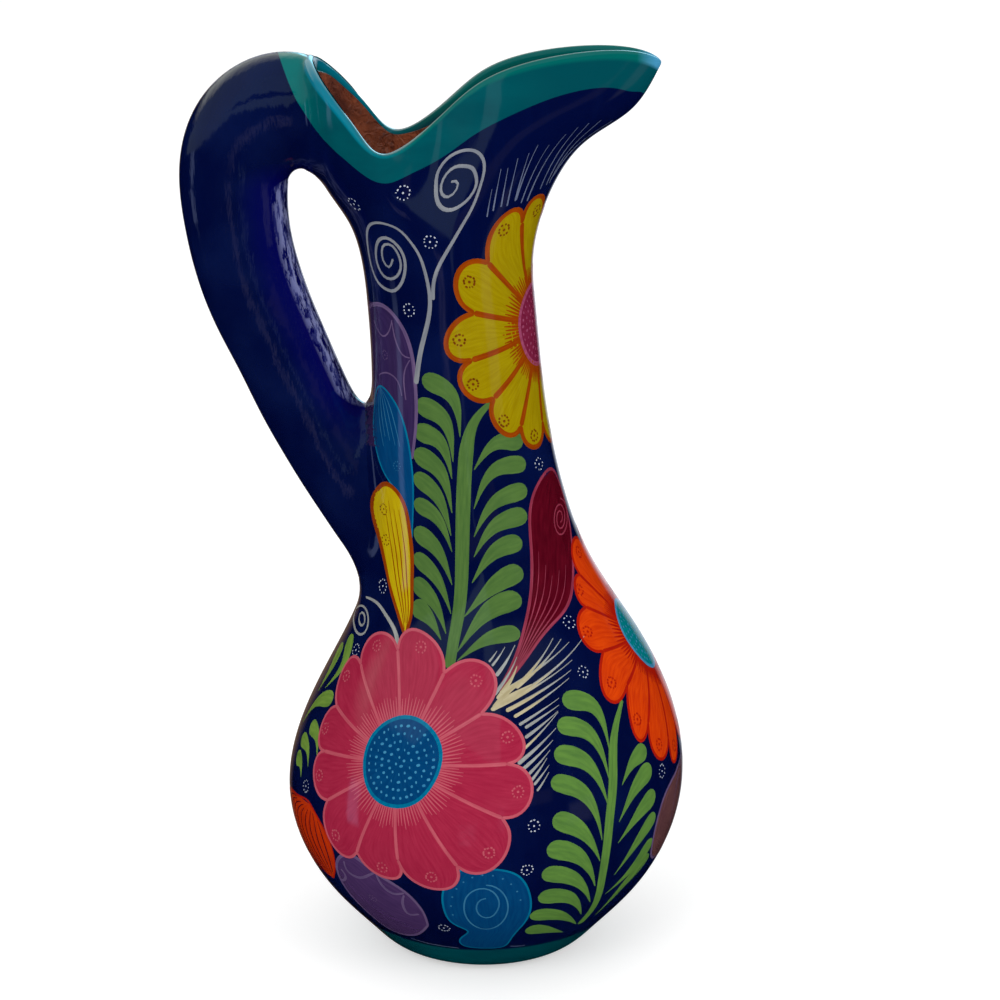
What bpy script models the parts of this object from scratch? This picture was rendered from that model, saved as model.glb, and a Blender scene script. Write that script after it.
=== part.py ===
"""Terracotta jug with a leaf-shaped mouth and one handle, as the potter luted it together.

Metres, +Z up. The origin is the centre of the flat foot. The spout points to +X and the
handle stands at -X. Each clay piece is one solid, and every joint is scored and slipped:
a tongue under the upper piece sits in a groove of the lower one, JOINT_GAP away from it.
"""
import math

import bmesh
import bpy
import numpy as np

# Foot and body
FOOT_RADIUS = 0.0320
FLOOR_THICKNESS = 0.0070
BELLY_RADIUS = 0.0779
BELLY_HEIGHT = 0.0650
BELLY_LEAN = 0.0006
SHOULDER_SWAY = 0.0030
NECK_RADIUS = 0.0330
NECK_HEIGHT = 0.2262
NECK_LEAN = -0.0098
WALL = 0.0050

# Collar, where the neck ends, and throat, the oval where the mouth begins to open
COLLAR_RADIUS = 0.0320
COLLAR_RISE = 0.0330
COLLAR_LEAN = -0.0122
THROAT_HALF_LENGTH = 0.0355
THROAT_HALF_WIDTH = 0.0320
THROAT_RISE = 0.0285
THROAT_LEAN = -0.0145

# Rim: it dips at a notch on either side, and climbs to the spout and to the lobe behind
NOTCH_SETBACK = 0.0330
NOTCH_HALF_WIDTH = 0.0315
NOTCH_RISE = 0.0320
SPOUT_REACH = 0.0668
SPOUT_RISE = 0.0345
TIP_DROP = 0.0042
LOBE_REACH = 0.0665
LOBE_RISE = 0.0322
RIM_WALL = 0.0044
SPOUT_WALL = 0.0030

# Handle, an oval coil of clay
HANDLE_WIDTH = 0.0384
HANDLE_DEPTH = 0.0300
HANDLE_BOW = 0.0388
UPPER_ROOT_DROP = 0.0239
UPPER_ROOT_INSET = 0.0065
LOWER_ROOT_HEIGHT = 0.1592
LOWER_ROOT_INSET = 0.0060

# Joints
JOINT_GAP = 0.0003
TONGUE = 0.0018

# Fineness of the facets
SIDES = 48
HANDLE_SIDES = 22
HANDLE_STEPS = 30
LIP_STEPS = 4

# Share of the height to the belly, and of the way out from the foot's radius to the belly's
LOWER_CURVE = ((0.034, 0.140), (0.155, 0.335), (0.477, 0.730))
# Share of the height from belly to neck, of the way in, of the sway and of the neck's lean
UPPER_CURVE = (
    (0.205, 0.135, 0.87, 0.00),
    (0.385, 0.450, 1.00, 0.00),
    (0.571, 0.775, 0.00, 0.12),
    (0.783, 0.920, 0.00, 0.71),
)
# Compass angle from the spout, then shares of the way to the tip, inwards and upwards
SPOUT_EDGE = ((30, 0.91, 0.81, 1.00), (55, 0.64, 0.60, 1.00), (75, 0.34, 0.41, 0.75), (90, 0.18, 0.33, 0.37))
NOTCH_ANGLE = 110
LOBE_EDGE = ((135, 0.48, 0.03, 0.38), (160, 0.84, 0.35, 0.80))
# Shares of the way from throat to rim, ahead, across and up: at the spout, then at the lobe
FLARE = ((0.32, 0.30, 0.47), (0.72, 0.30, 0.30))
LIP = ((0.77, 0.55, 0.72), (1.08, 0.80, 0.71))
# Centre line of the handle between its roots: share of the climb, of the bow, of the width
HANDLE_ROUTE = (
    (0.985, -0.36, 1.04),
    (1.003, 0.00, 1.09),
    (1.016, 0.37, 1.16),
    (0.974, 0.72, 1.12),
    (0.888, 0.94, 1.06),
    (0.766, 1.00, 1.015),
    (0.637, 0.95, 0.99),
    (0.508, 0.79, 0.97),
    (0.367, 0.585, 0.95),
    (0.225, 0.360, 0.89),
    (0.087, 0.130, 0.78),
    (0.000, 0.000, 0.64),
    (-0.100, -0.16, 0.46),
)

# Rings at which the clay pieces are luted together: counted up from the foot
BELLY_RING = 4
SHOULDER_RING = 6
COLLAR_RING = 10

COBALT = (0.006, 0.012, 0.085)
TEAL = (0.000, 0.110, 0.105)


def spline_weights(knots, places):
    """Share of each knot's value in the natural cubic spline, at each place."""
    steps = np.diff(knots)
    count = len(knots)
    system = np.eye(count)
    source = np.zeros((count, count))
    for i in range(1, count - 1):
        before, after = steps[i - 1], steps[i]
        system[i, i - 1:i + 2] = before, 2 * (before + after), after
        source[i, i - 1:i + 2] = 6 / before, -6 / before - 6 / after, 6 / after
    bend = np.linalg.solve(system, source)
    span = np.clip(np.searchsorted(knots, places, side="right") - 1, 0, count - 2)
    width = steps[span][:, None]
    after = (np.asarray(places)[:, None] - knots[span][:, None]) / width
    before = 1 - after
    hold = np.eye(count)
    return (before * hold[span] + after * hold[span + 1]
            + (before ** 3 - before) * width ** 2 / 6 * bend[span]
            + (after ** 3 - after) * width ** 2 / 6 * bend[span + 1])


def body_rings():
    """Height, radius and lean of each round ring, from the foot to the collar."""
    rings = [(0.0, FOOT_RADIUS, 0.0)]
    for up, out in LOWER_CURVE:
        rings.append((up * BELLY_HEIGHT, FOOT_RADIUS + out * (BELLY_RADIUS - FOOT_RADIUS), 0.0))
    rings.append((BELLY_HEIGHT, BELLY_RADIUS, BELLY_LEAN))
    for up, inward, sway, lean in UPPER_CURVE:
        rings.append((
            BELLY_HEIGHT + up * (NECK_HEIGHT - BELLY_HEIGHT),
            BELLY_RADIUS - inward * (BELLY_RADIUS - NECK_RADIUS),
            sway * SHOULDER_SWAY + lean * NECK_LEAN,
        ))
    rings.append((NECK_HEIGHT, NECK_RADIUS, NECK_LEAN))
    rings.append((NECK_HEIGHT + COLLAR_RISE, COLLAR_RADIUS, COLLAR_LEAN))
    return rings


def throat_height():
    return NECK_HEIGHT + COLLAR_RISE + THROAT_RISE


def throat(angle):
    """The oval ring below the flare."""
    return np.stack([
        THROAT_LEAN + THROAT_HALF_LENGTH * np.cos(angle),
        THROAT_HALF_WIDTH * np.sin(angle),
        np.full_like(angle, throat_height()),
    ], axis=-1)


def rim(angle):
    """The rim's crest: a leaf seen from above and a saddle seen from the side."""
    notch = np.array([-NOTCH_SETBACK, NOTCH_HALF_WIDTH, throat_height() + NOTCH_RISE])
    to_tip = np.array([SPOUT_REACH + NOTCH_SETBACK, -NOTCH_HALF_WIDTH, SPOUT_RISE])
    to_lobe = np.array([NOTCH_SETBACK - LOBE_REACH, -NOTCH_HALF_WIDTH, LOBE_RISE])
    half = [(0, notch + to_tip - [0, 0, TIP_DROP])]
    half += [(degrees, notch + to_tip * shares) for degrees, *shares in SPOUT_EDGE]
    half += [(NOTCH_ANGLE, notch)]
    half += [(degrees, notch + to_lobe * shares) for degrees, *shares in LOBE_EDGE]
    half += [(180, notch + to_lobe)]
    turn = half + [(360 - degrees, point * [1, -1, 1]) for degrees, point in half[-2:0:-1]]
    # the same turn three times over, so that the curve closes without a corner
    knots = np.array([degrees + 360.0 * lap for lap in (-1, 0, 1) for degrees, _ in turn])
    points = np.array([point for _ in range(3) for _, point in turn])
    return spline_weights(knots, np.degrees(angle) % 360) @ points


def form_rings(angle):
    """Every ring of the outer form at the given angles: an array of ring, angle, xyz."""
    rings = [np.stack([lean + radius * np.cos(angle), radius * np.sin(angle),
                       np.full_like(angle, height)], axis=-1)
             for height, radius, lean in body_rings()]
    low, high = throat(angle), rim(angle)
    front = ((1 + np.cos(angle)) / 2)[:, None]
    rings.append(low)
    for at_spout, at_lobe in (FLARE, LIP):
        shares = front * np.array(at_spout) + (1 - front) * np.array(at_lobe)
        rings.append(low + shares * (high - low))
    rings.append(high)
    return np.array(rings)


def ring_places():
    """Place of each ring along the wall, from 0 at the foot's edge to 1 at the rim."""
    sides = form_rings(np.radians([0.0, 90.0, 180.0]))
    steps = np.linalg.norm(np.diff(sides, axis=0), axis=2).mean(axis=1)
    places = np.concatenate([[0.0], np.cumsum(steps)])
    return places / places[-1]


def wall_length():
    """Length of the wall's curve from the foot's edge to the rim."""
    sides = form_rings(np.radians([0.0, 90.0, 180.0]))
    return np.linalg.norm(np.diff(sides, axis=0), axis=2).mean(axis=1).sum()


def surface(angle, place):
    """The outer face: an array of place, angle, xyz."""
    weights = spline_weights(ring_places(), np.atleast_1d(place))
    return np.einsum("pr,rax->pax", weights, form_rings(angle))


def unit(vectors):
    return vectors / np.linalg.norm(vectors, axis=-1, keepdims=True)


def directions(angle, place):
    """Along the wall upwards, and straight out of it."""
    nudge = 1e-4
    above, below = np.clip(place + nudge, 0, 1), np.clip(place - nudge, 0, 1)
    upward = unit(surface(angle, above) - surface(angle, below))
    around = surface(angle + nudge, place) - surface(angle - nudge, place)
    return upward, unit(np.cross(around, upward))


def wall_at(angle, place):
    """Thickness of the wall, thinned towards the rim and most at the spout."""
    throat_place = ring_places()[COLLAR_RING + 1]
    rise = np.clip((place - throat_place) / (1 - throat_place), 0, 1)
    rise = rise * rise * (3 - 2 * rise)
    front = ((1 + np.cos(angle)) / 2) ** 2
    edge = RIM_WALL + front * (SPOUT_WALL - RIM_WALL)
    return WALL + rise[:, None] * (edge - WALL)[None, :]


def inner(angle, place):
    """The inner face, one wall in; near the spout's tip it keeps to its own side."""
    outer = surface(angle, place)
    _, out = directions(angle, place)
    inside = outer - out * wall_at(angle, place)[:, :, None]
    side = np.sign(outer[:, :, 1])
    least = 0.18 * np.abs(outer[:, :, 1])
    inside[:, :, 1] = side * np.maximum(inside[:, :, 1] * side, least)
    return inside


def compass():
    return np.arange(SIDES) * 2 * math.pi / SIDES


def place_at_height(height, face):
    """Where a face of the bowl, below the belly, passes a height."""
    places = np.linspace(0, ring_places()[BELLY_RING], 400)
    heights = face(np.array([0.0]), places)[:, 0, 2]
    return np.interp(height, heights, places)


def closed_solid(name, rows, bottom=None, top=None):
    """A solid from rows of points: a ring of rows, or a stack closed by two centre points."""
    mesh = bpy.data.meshes.new(name)
    built = bmesh.new()
    verts = [[built.verts.new(point) for point in row] for row in rows]
    count = len(verts[0])
    pairs = list(zip(verts, verts[1:]))
    if bottom is None:
        pairs.append((verts[-1], verts[0]))
    for low, high in pairs:
        for i in range(count):
            j = (i + 1) % count
            built.faces.new((low[i], low[j], high[j], high[i]))
    if bottom is not None:
        for centre, ring, order in ((bottom, verts[0], -1), (top, verts[-1], 1)):
            hub = built.verts.new(centre)
            for i in range(count):
                edge = (ring[i], ring[(i + 1) % count])[::order]
                built.faces.new((*edge, hub))
    bmesh.ops.triangulate(built, faces=[f for f in built.faces if len(f.verts) > 3])
    built.to_mesh(mesh)
    built.free()
    mesh.shade_smooth()
    mesh.set_sharp_from_angle(angle=math.radians(40))
    solid = bpy.data.objects.new(name, mesh)
    bpy.context.scene.collection.objects.link(solid)
    return solid


def painted(solid, colour, roughness):
    """Give a solid its own varnished paint."""
    material = bpy.data.materials.new(solid.name + "_paint")
    material.use_nodes = True
    shader = material.node_tree.nodes["Principled BSDF"]
    shader.inputs["Base Color"].default_value = (*colour, 1)
    shader.inputs["Roughness"].default_value = roughness
    shader.inputs["Metallic"].default_value = 0.0
    solid.data.materials.append(material)


def joint_row(place):
    """Middle of the wall at a joint, let down by the tongue's length."""
    angle = compass()
    upward, _ = directions(angle, np.array([place]))
    middle = (surface(angle, place) + inner(angle, np.array([place]))) / 2
    return (middle - upward * TONGUE)[0]


def floor_joint(lift):
    """Joint between foot and bowl: outer edge, tongue and inner edge, lifted by a gap."""
    angle = compass()
    outer = surface(angle, place_at_height(FLOOR_THICKNESS + lift, surface))[0]
    edge = inner(angle, np.array([place_at_height(FLOOR_THICKNESS + JOINT_GAP, inner)]))[0]
    edge[:, 2] = FLOOR_THICKNESS + lift
    tongue = (outer + edge) / 2
    tongue[:, 2] -= TONGUE
    return outer, tongue, edge


def make_foot_disc():
    """The slab that the jug was built up from, flat below and grooved for the bowl above."""
    heel = np.linspace(0, place_at_height(FLOOR_THICKNESS, surface), 5)
    outer, groove, edge = floor_joint(0.0)
    rows = list(surface(compass(), heel)[:-1]) + [outer, groove, edge]
    foot = closed_solid("foot_disc", rows, (0, 0, 0), (0, 0, FLOOR_THICKNESS))
    painted(foot, TEAL, 0.22)


def shell_rows(low, high, count):
    """Outer rows going up and inner rows coming down, between two places on the wall."""
    places = np.linspace(low, high, count)
    return list(surface(compass(), places)), list(inner(compass(), places))[::-1]


def make_lower_bowl():
    """From the foot slab to the belly's widest ring."""
    outer, tongue, edge = floor_joint(JOINT_GAP)
    start = place_at_height(FLOOR_THICKNESS + JOINT_GAP, surface)
    inner_start = place_at_height(FLOOR_THICKNESS + JOINT_GAP, inner)
    belly = ring_places()[BELLY_RING]
    up, _ = shell_rows(start, belly, 9)
    _, down = shell_rows(inner_start, belly, 8)
    rows = [outer] + up[1:] + [joint_row(belly)] + down[:-1] + [edge, tongue]
    painted(closed_solid("lower_bowl", rows), COBALT, 0.18)


def make_shell(name, low_ring, high_ring, count):
    """A clay ring with a tongue below and a groove above."""
    gap = JOINT_GAP / wall_length()
    low = ring_places()[low_ring] + gap
    high = ring_places()[high_ring]
    up, down = shell_rows(low, high, count)
    painted(closed_solid(name, up + [joint_row(high)] + down + [joint_row(low)]), COBALT, 0.18)


def lip_rows(start):
    """The rounded edge over the wall's last stretch, from outside to inside."""
    angle = compass()
    place = np.array([start])
    outer, inside = surface(angle, place)[0], inner(angle, place)[0]
    middle = (outer + inside) / 2
    crest = surface(angle, np.array([1.0]))[0]
    rise = (crest - outer)
    rows = []
    for step in range(1, LIP_STEPS):
        turn = math.pi * step / LIP_STEPS
        rows.append(middle + (outer - middle) * math.cos(turn) + rise * math.sin(turn))
    return rows


def make_mouth():
    """The flared mouth: spout ahead, lobe behind, and a rim with a rounded edge."""
    low = ring_places()[COLLAR_RING] + JOINT_GAP / wall_length()
    high = 1 - RIM_WALL / 2 / wall_length()
    up, down = shell_rows(low, high, 12)
    rows = up + lip_rows(high) + down + [joint_row(low)]
    painted(closed_solid("mouth", rows), TEAL, 0.20)


def handle_centre():
    """Centre line and half width of the handle, root to root: x, z and half width."""
    lobe = throat_height() + NOTCH_RISE + LOBE_RISE
    upper = np.array([UPPER_ROOT_INSET - LOBE_REACH, lobe - UPPER_ROOT_DROP])
    wall = surface(np.array([math.pi]), np.linspace(0, 1, 400))[:, 0]
    above_belly = wall[:, 2] > BELLY_HEIGHT
    wall_x = np.interp(LOWER_ROOT_HEIGHT, wall[above_belly, 2], wall[above_belly, 0])
    lower = np.array([wall_x + LOWER_ROOT_INSET, LOWER_ROOT_HEIGHT])
    points = []
    for climb, bow, width in HANDLE_ROUTE:
        x, z = lower + climb * (upper - lower)
        points.append((x - bow * HANDLE_BOW, z, width * HANDLE_WIDTH / 2))
    return np.array(points)


def handle_rows():
    """Oval sections along the handle, each square to its centre line."""
    points = handle_centre()
    steps = np.linalg.norm(np.diff(points[:, :2], axis=0), axis=1)
    knots = np.concatenate([[0.0], np.cumsum(steps)])
    line = spline_weights(knots, np.linspace(0, knots[-1], HANDLE_STEPS)) @ points
    along = unit(np.gradient(line[:, :2], axis=0))
    rows = []
    for (x, z, half), (dx, dz) in zip(line, along):
        row = []
        for i in range(HANDLE_SIDES):
            turn = -2 * math.pi * i / HANDLE_SIDES
            out = half * math.cos(turn)
            row.append((x - dz * out, HANDLE_DEPTH / 2 * math.sin(turn), z + dx * out))
        rows.append(row)
    return rows, line


def make_body_cutter():
    """The body's outer form, one gap larger and open to the sky, which trims the handle."""
    angle = compass()
    gap = JOINT_GAP / wall_length()
    rings = ring_places()
    places = np.concatenate([
        np.linspace(rings[BELLY_RING] + gap, rings[SHOULDER_RING], 8),
        np.linspace(rings[SHOULDER_RING] + gap, rings[COLLAR_RING], 13),
        np.linspace(rings[COLLAR_RING] + gap, 1 - RIM_WALL / 2 / wall_length(), 12),
    ])
    _, out = directions(angle, places)
    rows = list(surface(angle, places) + out * JOINT_GAP)
    sky = rows[-1].copy()
    sky[:, 2] = throat_height() + NOTCH_RISE + LOBE_RISE + SPOUT_RISE
    low = rows[0].mean(axis=0)
    high = sky.mean(axis=0)
    cutter = closed_solid("body_cutter", rows + [sky], low, high)
    cutter.hide_render = True
    cutter.display_type = "WIRE"
    return cutter


def make_handle():
    """The handle, with both roots trimmed to the wall that they are luted to."""
    rows, line = handle_rows()
    ends = [(line[i, 0], 0, line[i, 1]) for i in (0, -1)]
    handle = closed_solid("handle", rows, *ends)
    trim = handle.modifiers.new("trim_to_body", "BOOLEAN")
    trim.operation = "DIFFERENCE"
    trim.solver = "EXACT"
    trim.object = make_body_cutter()
    painted(handle, COBALT, 0.16)


def main():
    for old in list(bpy.data.objects):
        bpy.data.objects.remove(old)
    make_foot_disc()
    make_lower_bowl()
    make_shell("upper_bowl", BELLY_RING, SHOULDER_RING, 8)
    make_shell("neck", SHOULDER_RING, COLLAR_RING, 13)
    make_mouth()
    make_handle()


main()
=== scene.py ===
"""Looks of the terracotta jug: hand-built clay, brushed paint and a thick clear varnish.

Metres, in the row frame: origin at the foot's centre, +Z up, spout to +X, handle at -X.
A spot on the outer face is a pair (angle, place): the compass angle from the spout, and the
share of the way up the wall, 0 at the foot's edge and 1 at the rim's crest.
"""

import math

import bpy
import numpy as np
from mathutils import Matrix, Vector
from mathutils.bvhtree import BVHTree
from mathutils.geometry import barycentric_transform

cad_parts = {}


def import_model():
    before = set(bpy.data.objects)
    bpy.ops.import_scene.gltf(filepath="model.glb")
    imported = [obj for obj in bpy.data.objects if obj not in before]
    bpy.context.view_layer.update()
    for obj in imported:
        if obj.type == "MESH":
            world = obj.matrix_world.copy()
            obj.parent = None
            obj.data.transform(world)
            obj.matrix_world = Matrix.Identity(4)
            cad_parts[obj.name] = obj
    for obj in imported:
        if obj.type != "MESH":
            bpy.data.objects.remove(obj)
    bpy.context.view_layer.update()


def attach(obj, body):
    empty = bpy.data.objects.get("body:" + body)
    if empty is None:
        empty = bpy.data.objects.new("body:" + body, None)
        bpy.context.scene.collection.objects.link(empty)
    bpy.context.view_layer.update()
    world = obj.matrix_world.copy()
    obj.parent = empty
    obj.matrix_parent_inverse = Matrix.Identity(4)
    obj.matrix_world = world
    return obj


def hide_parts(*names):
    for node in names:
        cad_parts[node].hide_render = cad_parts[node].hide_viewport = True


TURN = 2 * math.pi

# Foot and body
FOOT_RADIUS = 0.0320
FLOOR_THICKNESS = 0.0070
BELLY_RADIUS = 0.0779
BELLY_HEIGHT = 0.0650
BELLY_LEAN = 0.0006
SHOULDER_SWAY = 0.0030
NECK_RADIUS = 0.0330
NECK_HEIGHT = 0.2262
NECK_LEAN = -0.0098
WALL = 0.0050

# Collar and throat
COLLAR_RADIUS = 0.0320
COLLAR_RISE = 0.0330
COLLAR_LEAN = -0.0122
THROAT_HALF_LENGTH = 0.0355
THROAT_HALF_WIDTH = 0.0320
THROAT_RISE = 0.0285
THROAT_LEAN = -0.0145

# Rim
NOTCH_SETBACK = 0.0330
NOTCH_HALF_WIDTH = 0.0315
NOTCH_RISE = 0.0320
SPOUT_REACH = 0.0668
SPOUT_RISE = 0.0345
TIP_DROP = 0.0042
LOBE_REACH = 0.0665
LOBE_RISE = 0.0322
RIM_WALL = 0.0044
SPOUT_WALL = 0.0030

# Handle
HANDLE_WIDTH = 0.0384
HANDLE_DEPTH = 0.0300
HANDLE_BOW = 0.0388
UPPER_ROOT_DROP = 0.0239
UPPER_ROOT_INSET = 0.0065
LOWER_ROOT_HEIGHT = 0.1592
LOWER_ROOT_INSET = 0.0060

LOWER_CURVE = ((0.034, 0.140), (0.155, 0.335), (0.477, 0.730))
UPPER_CURVE = (
    (0.205, 0.135, 0.87, 0.00),
    (0.385, 0.450, 1.00, 0.00),
    (0.571, 0.775, 0.00, 0.12),
    (0.783, 0.920, 0.00, 0.71),
)
SPOUT_EDGE = (
    (30, 0.91, 0.81, 1.00), (55, 0.64, 0.60, 1.00), (75, 0.34, 0.41, 0.75), (90, 0.18, 0.33, 0.37),
)
NOTCH_ANGLE = 110
LOBE_EDGE = ((135, 0.48, 0.03, 0.38), (160, 0.84, 0.35, 0.80))
FLARE = ((0.32, 0.30, 0.47), (0.72, 0.30, 0.30))
LIP = ((0.77, 0.55, 0.72), (1.08, 0.80, 0.71))
HANDLE_ROUTE = (
    (0.985, -0.36, 1.04),
    (1.003, 0.00, 1.09),
    (1.016, 0.37, 1.16),
    (0.975, 0.725, 1.125),
    (0.885, 0.925, 1.10),
    (0.766, 0.98, 1.055),
    (0.637, 0.932, 1.026),
    (0.508, 0.78, 0.99),
    (0.367, 0.585, 0.95),
    (0.225, 0.360, 0.89),
    (0.087, 0.130, 0.78),
    (0.000, 0.000, 0.64),
    (-0.100, -0.16, 0.46),
)
COLLAR_RING = 10

# Fineness, and how the luted joints are smoothed over
COLUMNS = 240
OUTER_ROWS = 250
LIP_ROWS = 8
INNER_ROWS = 96
HANDLE_COLUMNS = 72
HANDLE_ROWS = 190
SKIN_DEPTH = 0.00024
CREST_DROP = 0.00036
ROOT_FILLET = 0.0120
UPPER_FILLET = 0.0062
LIP_FILLET = 0.0012
HANDLE_LUMP = 0.00022
# Where the fillets change their reach, by height
FILLET_HEIGHTS = (0.20, 0.28, 0.343, 0.350)
# Distance below the crest over which a fillet dies out
FILLET_FADE = 0.004
# The handle meets the wall behind these angles from the back, above this place
HANDLE_SIDE = math.radians(85)
HANDLE_FOOT_PLACE = 0.28
# How high the handle's top may lie over the crest, by how far it has come past it
CREST_RUN = ((-0.0040, -0.0018, -0.0002, 0.0018, 0.0070),
             (0.0040, 0.0010, 0.0002, -0.0007, -0.0080))
HANDLE_INSIDE_ROUND = 0.0052
ROOT_DEPTH = 0.0016
# Rings that close the handle's ends within the wall
ROOT_SHARES = (0.85, 0.7, 0.55, 0.4, 0.25, 0.1)
# The spout's inner faces keep this share of the outer half width
SPOUT_BORE = 0.18

# The photograph's pinhole camera, in its own pixels
FRAME_SIDE = 1000
FOCAL_PIXELS = 2900
CAMERA_TURN = math.radians(2)
CAMERA_TILT = math.radians(16)
CAMERA_AWAY = 1.077
CAMERA_AIM_X = 0.00636
CAMERA_HEIGHT = 0.4892
CAMERA_PLACE = (CAMERA_AIM_X + CAMERA_AWAY * math.sin(CAMERA_TURN),
                -CAMERA_AWAY * math.cos(CAMERA_TURN), CAMERA_HEIGHT)


def spline_weights(knots, places):
    """Share of each knot's value in the natural cubic spline, at each place."""
    steps = np.diff(knots)
    count = len(knots)
    system = np.eye(count)
    source = np.zeros((count, count))
    for i in range(1, count - 1):
        before, after = steps[i - 1], steps[i]
        system[i, i - 1:i + 2] = before, 2 * (before + after), after
        source[i, i - 1:i + 2] = 6 / before, -6 / before - 6 / after, 6 / after
    bend = np.linalg.solve(system, source)
    span = np.clip(np.searchsorted(knots, places, side="right") - 1, 0, count - 2)
    width = steps[span][:, None]
    after = (np.asarray(places)[:, None] - knots[span][:, None]) / width
    before = 1 - after
    hold = np.eye(count)
    return (before * hold[span] + after * hold[span + 1]
            + (before ** 3 - before) * width ** 2 / 6 * bend[span]
            + (after ** 3 - after) * width ** 2 / 6 * bend[span + 1])


def body_rings():
    """Height, radius and lean of each round ring, from the foot to the collar."""
    rings = [(0.0, FOOT_RADIUS, 0.0)]
    for up, out in LOWER_CURVE:
        rings.append((up * BELLY_HEIGHT, FOOT_RADIUS + out * (BELLY_RADIUS - FOOT_RADIUS), 0.0))
    rings.append((BELLY_HEIGHT, BELLY_RADIUS, BELLY_LEAN))
    for up, inward, sway, lean in UPPER_CURVE:
        rings.append((
            BELLY_HEIGHT + up * (NECK_HEIGHT - BELLY_HEIGHT),
            BELLY_RADIUS - inward * (BELLY_RADIUS - NECK_RADIUS),
            sway * SHOULDER_SWAY + lean * NECK_LEAN,
        ))
    rings.append((NECK_HEIGHT, NECK_RADIUS, NECK_LEAN))
    rings.append((NECK_HEIGHT + COLLAR_RISE, COLLAR_RADIUS, COLLAR_LEAN))
    return rings


def throat_height():
    return NECK_HEIGHT + COLLAR_RISE + THROAT_RISE


def throat(angle):
    """The oval ring below the flare."""
    return np.stack([
        THROAT_LEAN + THROAT_HALF_LENGTH * np.cos(angle),
        THROAT_HALF_WIDTH * np.sin(angle),
        np.full_like(angle, throat_height()),
    ], axis=-1)


def rim(angle):
    """The rim's crest: a leaf seen from above and a saddle seen from the side."""
    notch = np.array([-NOTCH_SETBACK, NOTCH_HALF_WIDTH, throat_height() + NOTCH_RISE])
    to_tip = np.array([SPOUT_REACH + NOTCH_SETBACK, -NOTCH_HALF_WIDTH, SPOUT_RISE])
    to_lobe = np.array([NOTCH_SETBACK - LOBE_REACH, -NOTCH_HALF_WIDTH, LOBE_RISE])
    half = [(0, notch + to_tip - [0, 0, TIP_DROP])]
    half += [(degrees, notch + to_tip * shares) for degrees, *shares in SPOUT_EDGE]
    half += [(NOTCH_ANGLE, notch)]
    half += [(degrees, notch + to_lobe * shares) for degrees, *shares in LOBE_EDGE]
    half += [(180, notch + to_lobe)]
    turn = half + [(360 - degrees, point * [1, -1, 1]) for degrees, point in half[-2:0:-1]]
    knots = np.array([degrees + 360.0 * lap for lap in (-1, 0, 1) for degrees, _ in turn])
    points = np.array([point for _ in range(3) for _, point in turn])
    return spline_weights(knots, np.degrees(angle) % 360) @ points


def form_rings(angle):
    """Every ring of the outer form at the given angles: an array of ring, angle, xyz."""
    rings = [np.stack([lean + radius * np.cos(angle), radius * np.sin(angle),
                       np.full_like(angle, height)], axis=-1)
             for height, radius, lean in body_rings()]
    low, high = throat(angle), rim(angle)
    front = ((1 + np.cos(angle)) / 2)[:, None]
    rings.append(low)
    for at_spout, at_lobe in (FLARE, LIP):
        shares = front * np.array(at_spout) + (1 - front) * np.array(at_lobe)
        rings.append(low + shares * (high - low))
    rings.append(high)
    return np.array(rings)


def ring_steps():
    """Length of the wall between its rings, the mean of four sides."""
    sides = form_rings(np.radians([0.0, 90.0, 180.0]))
    return np.linalg.norm(np.diff(sides, axis=0), axis=2).mean(axis=1)


WALL_LENGTH = ring_steps().sum()
RING_PLACES = np.concatenate([[0.0], np.cumsum(ring_steps())]) / WALL_LENGTH
CREST_PLACE = 1 - RIM_WALL / 2 / WALL_LENGTH


def surface(angle, place):
    """The outer face: an array of place, angle, xyz."""
    weights = spline_weights(RING_PLACES, np.atleast_1d(place))
    return np.einsum("pr,rax->pax", weights, form_rings(angle))


def eased(share):
    """A share kept between 0 and 1, slow at both ends."""
    share = np.clip(share, 0, 1)
    return share * share * (3 - 2 * share)


def unit(vectors):
    return vectors / np.maximum(np.linalg.norm(vectors, axis=-1, keepdims=True), 1e-12)


def outward(angle, place):
    """Straight out of the wall."""
    nudge = 1e-4
    above, below = np.clip(place + nudge, 0, 1), np.clip(place - nudge, 0, 1)
    upward = surface(angle, above) - surface(angle, below)
    around = surface(angle + nudge, place) - surface(angle - nudge, place)
    return unit(np.cross(around, upward))


def wall_at(angle, place):
    """Thickness of the wall, thinned towards the rim and most at the spout."""
    throat_place = RING_PLACES[COLLAR_RING + 1]
    rise = eased((place - throat_place) / (1 - throat_place))
    front = ((1 + np.cos(angle)) / 2) ** 2
    edge = RIM_WALL + front * (SPOUT_WALL - RIM_WALL)
    return WALL + rise[:, None] * (edge - WALL)[None, :]


def inner(angle, place):
    """The inner face, one wall in; near the spout's tip it keeps to its own side."""
    outer = surface(angle, place)
    inside = outer - outward(angle, place) * wall_at(angle, place)[:, :, None]
    side = np.sign(outer[:, :, 1])
    least = SPOUT_BORE * np.abs(outer[:, :, 1])
    inside[:, :, 1] = side * np.maximum(inside[:, :, 1] * side, least)
    return inside


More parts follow.
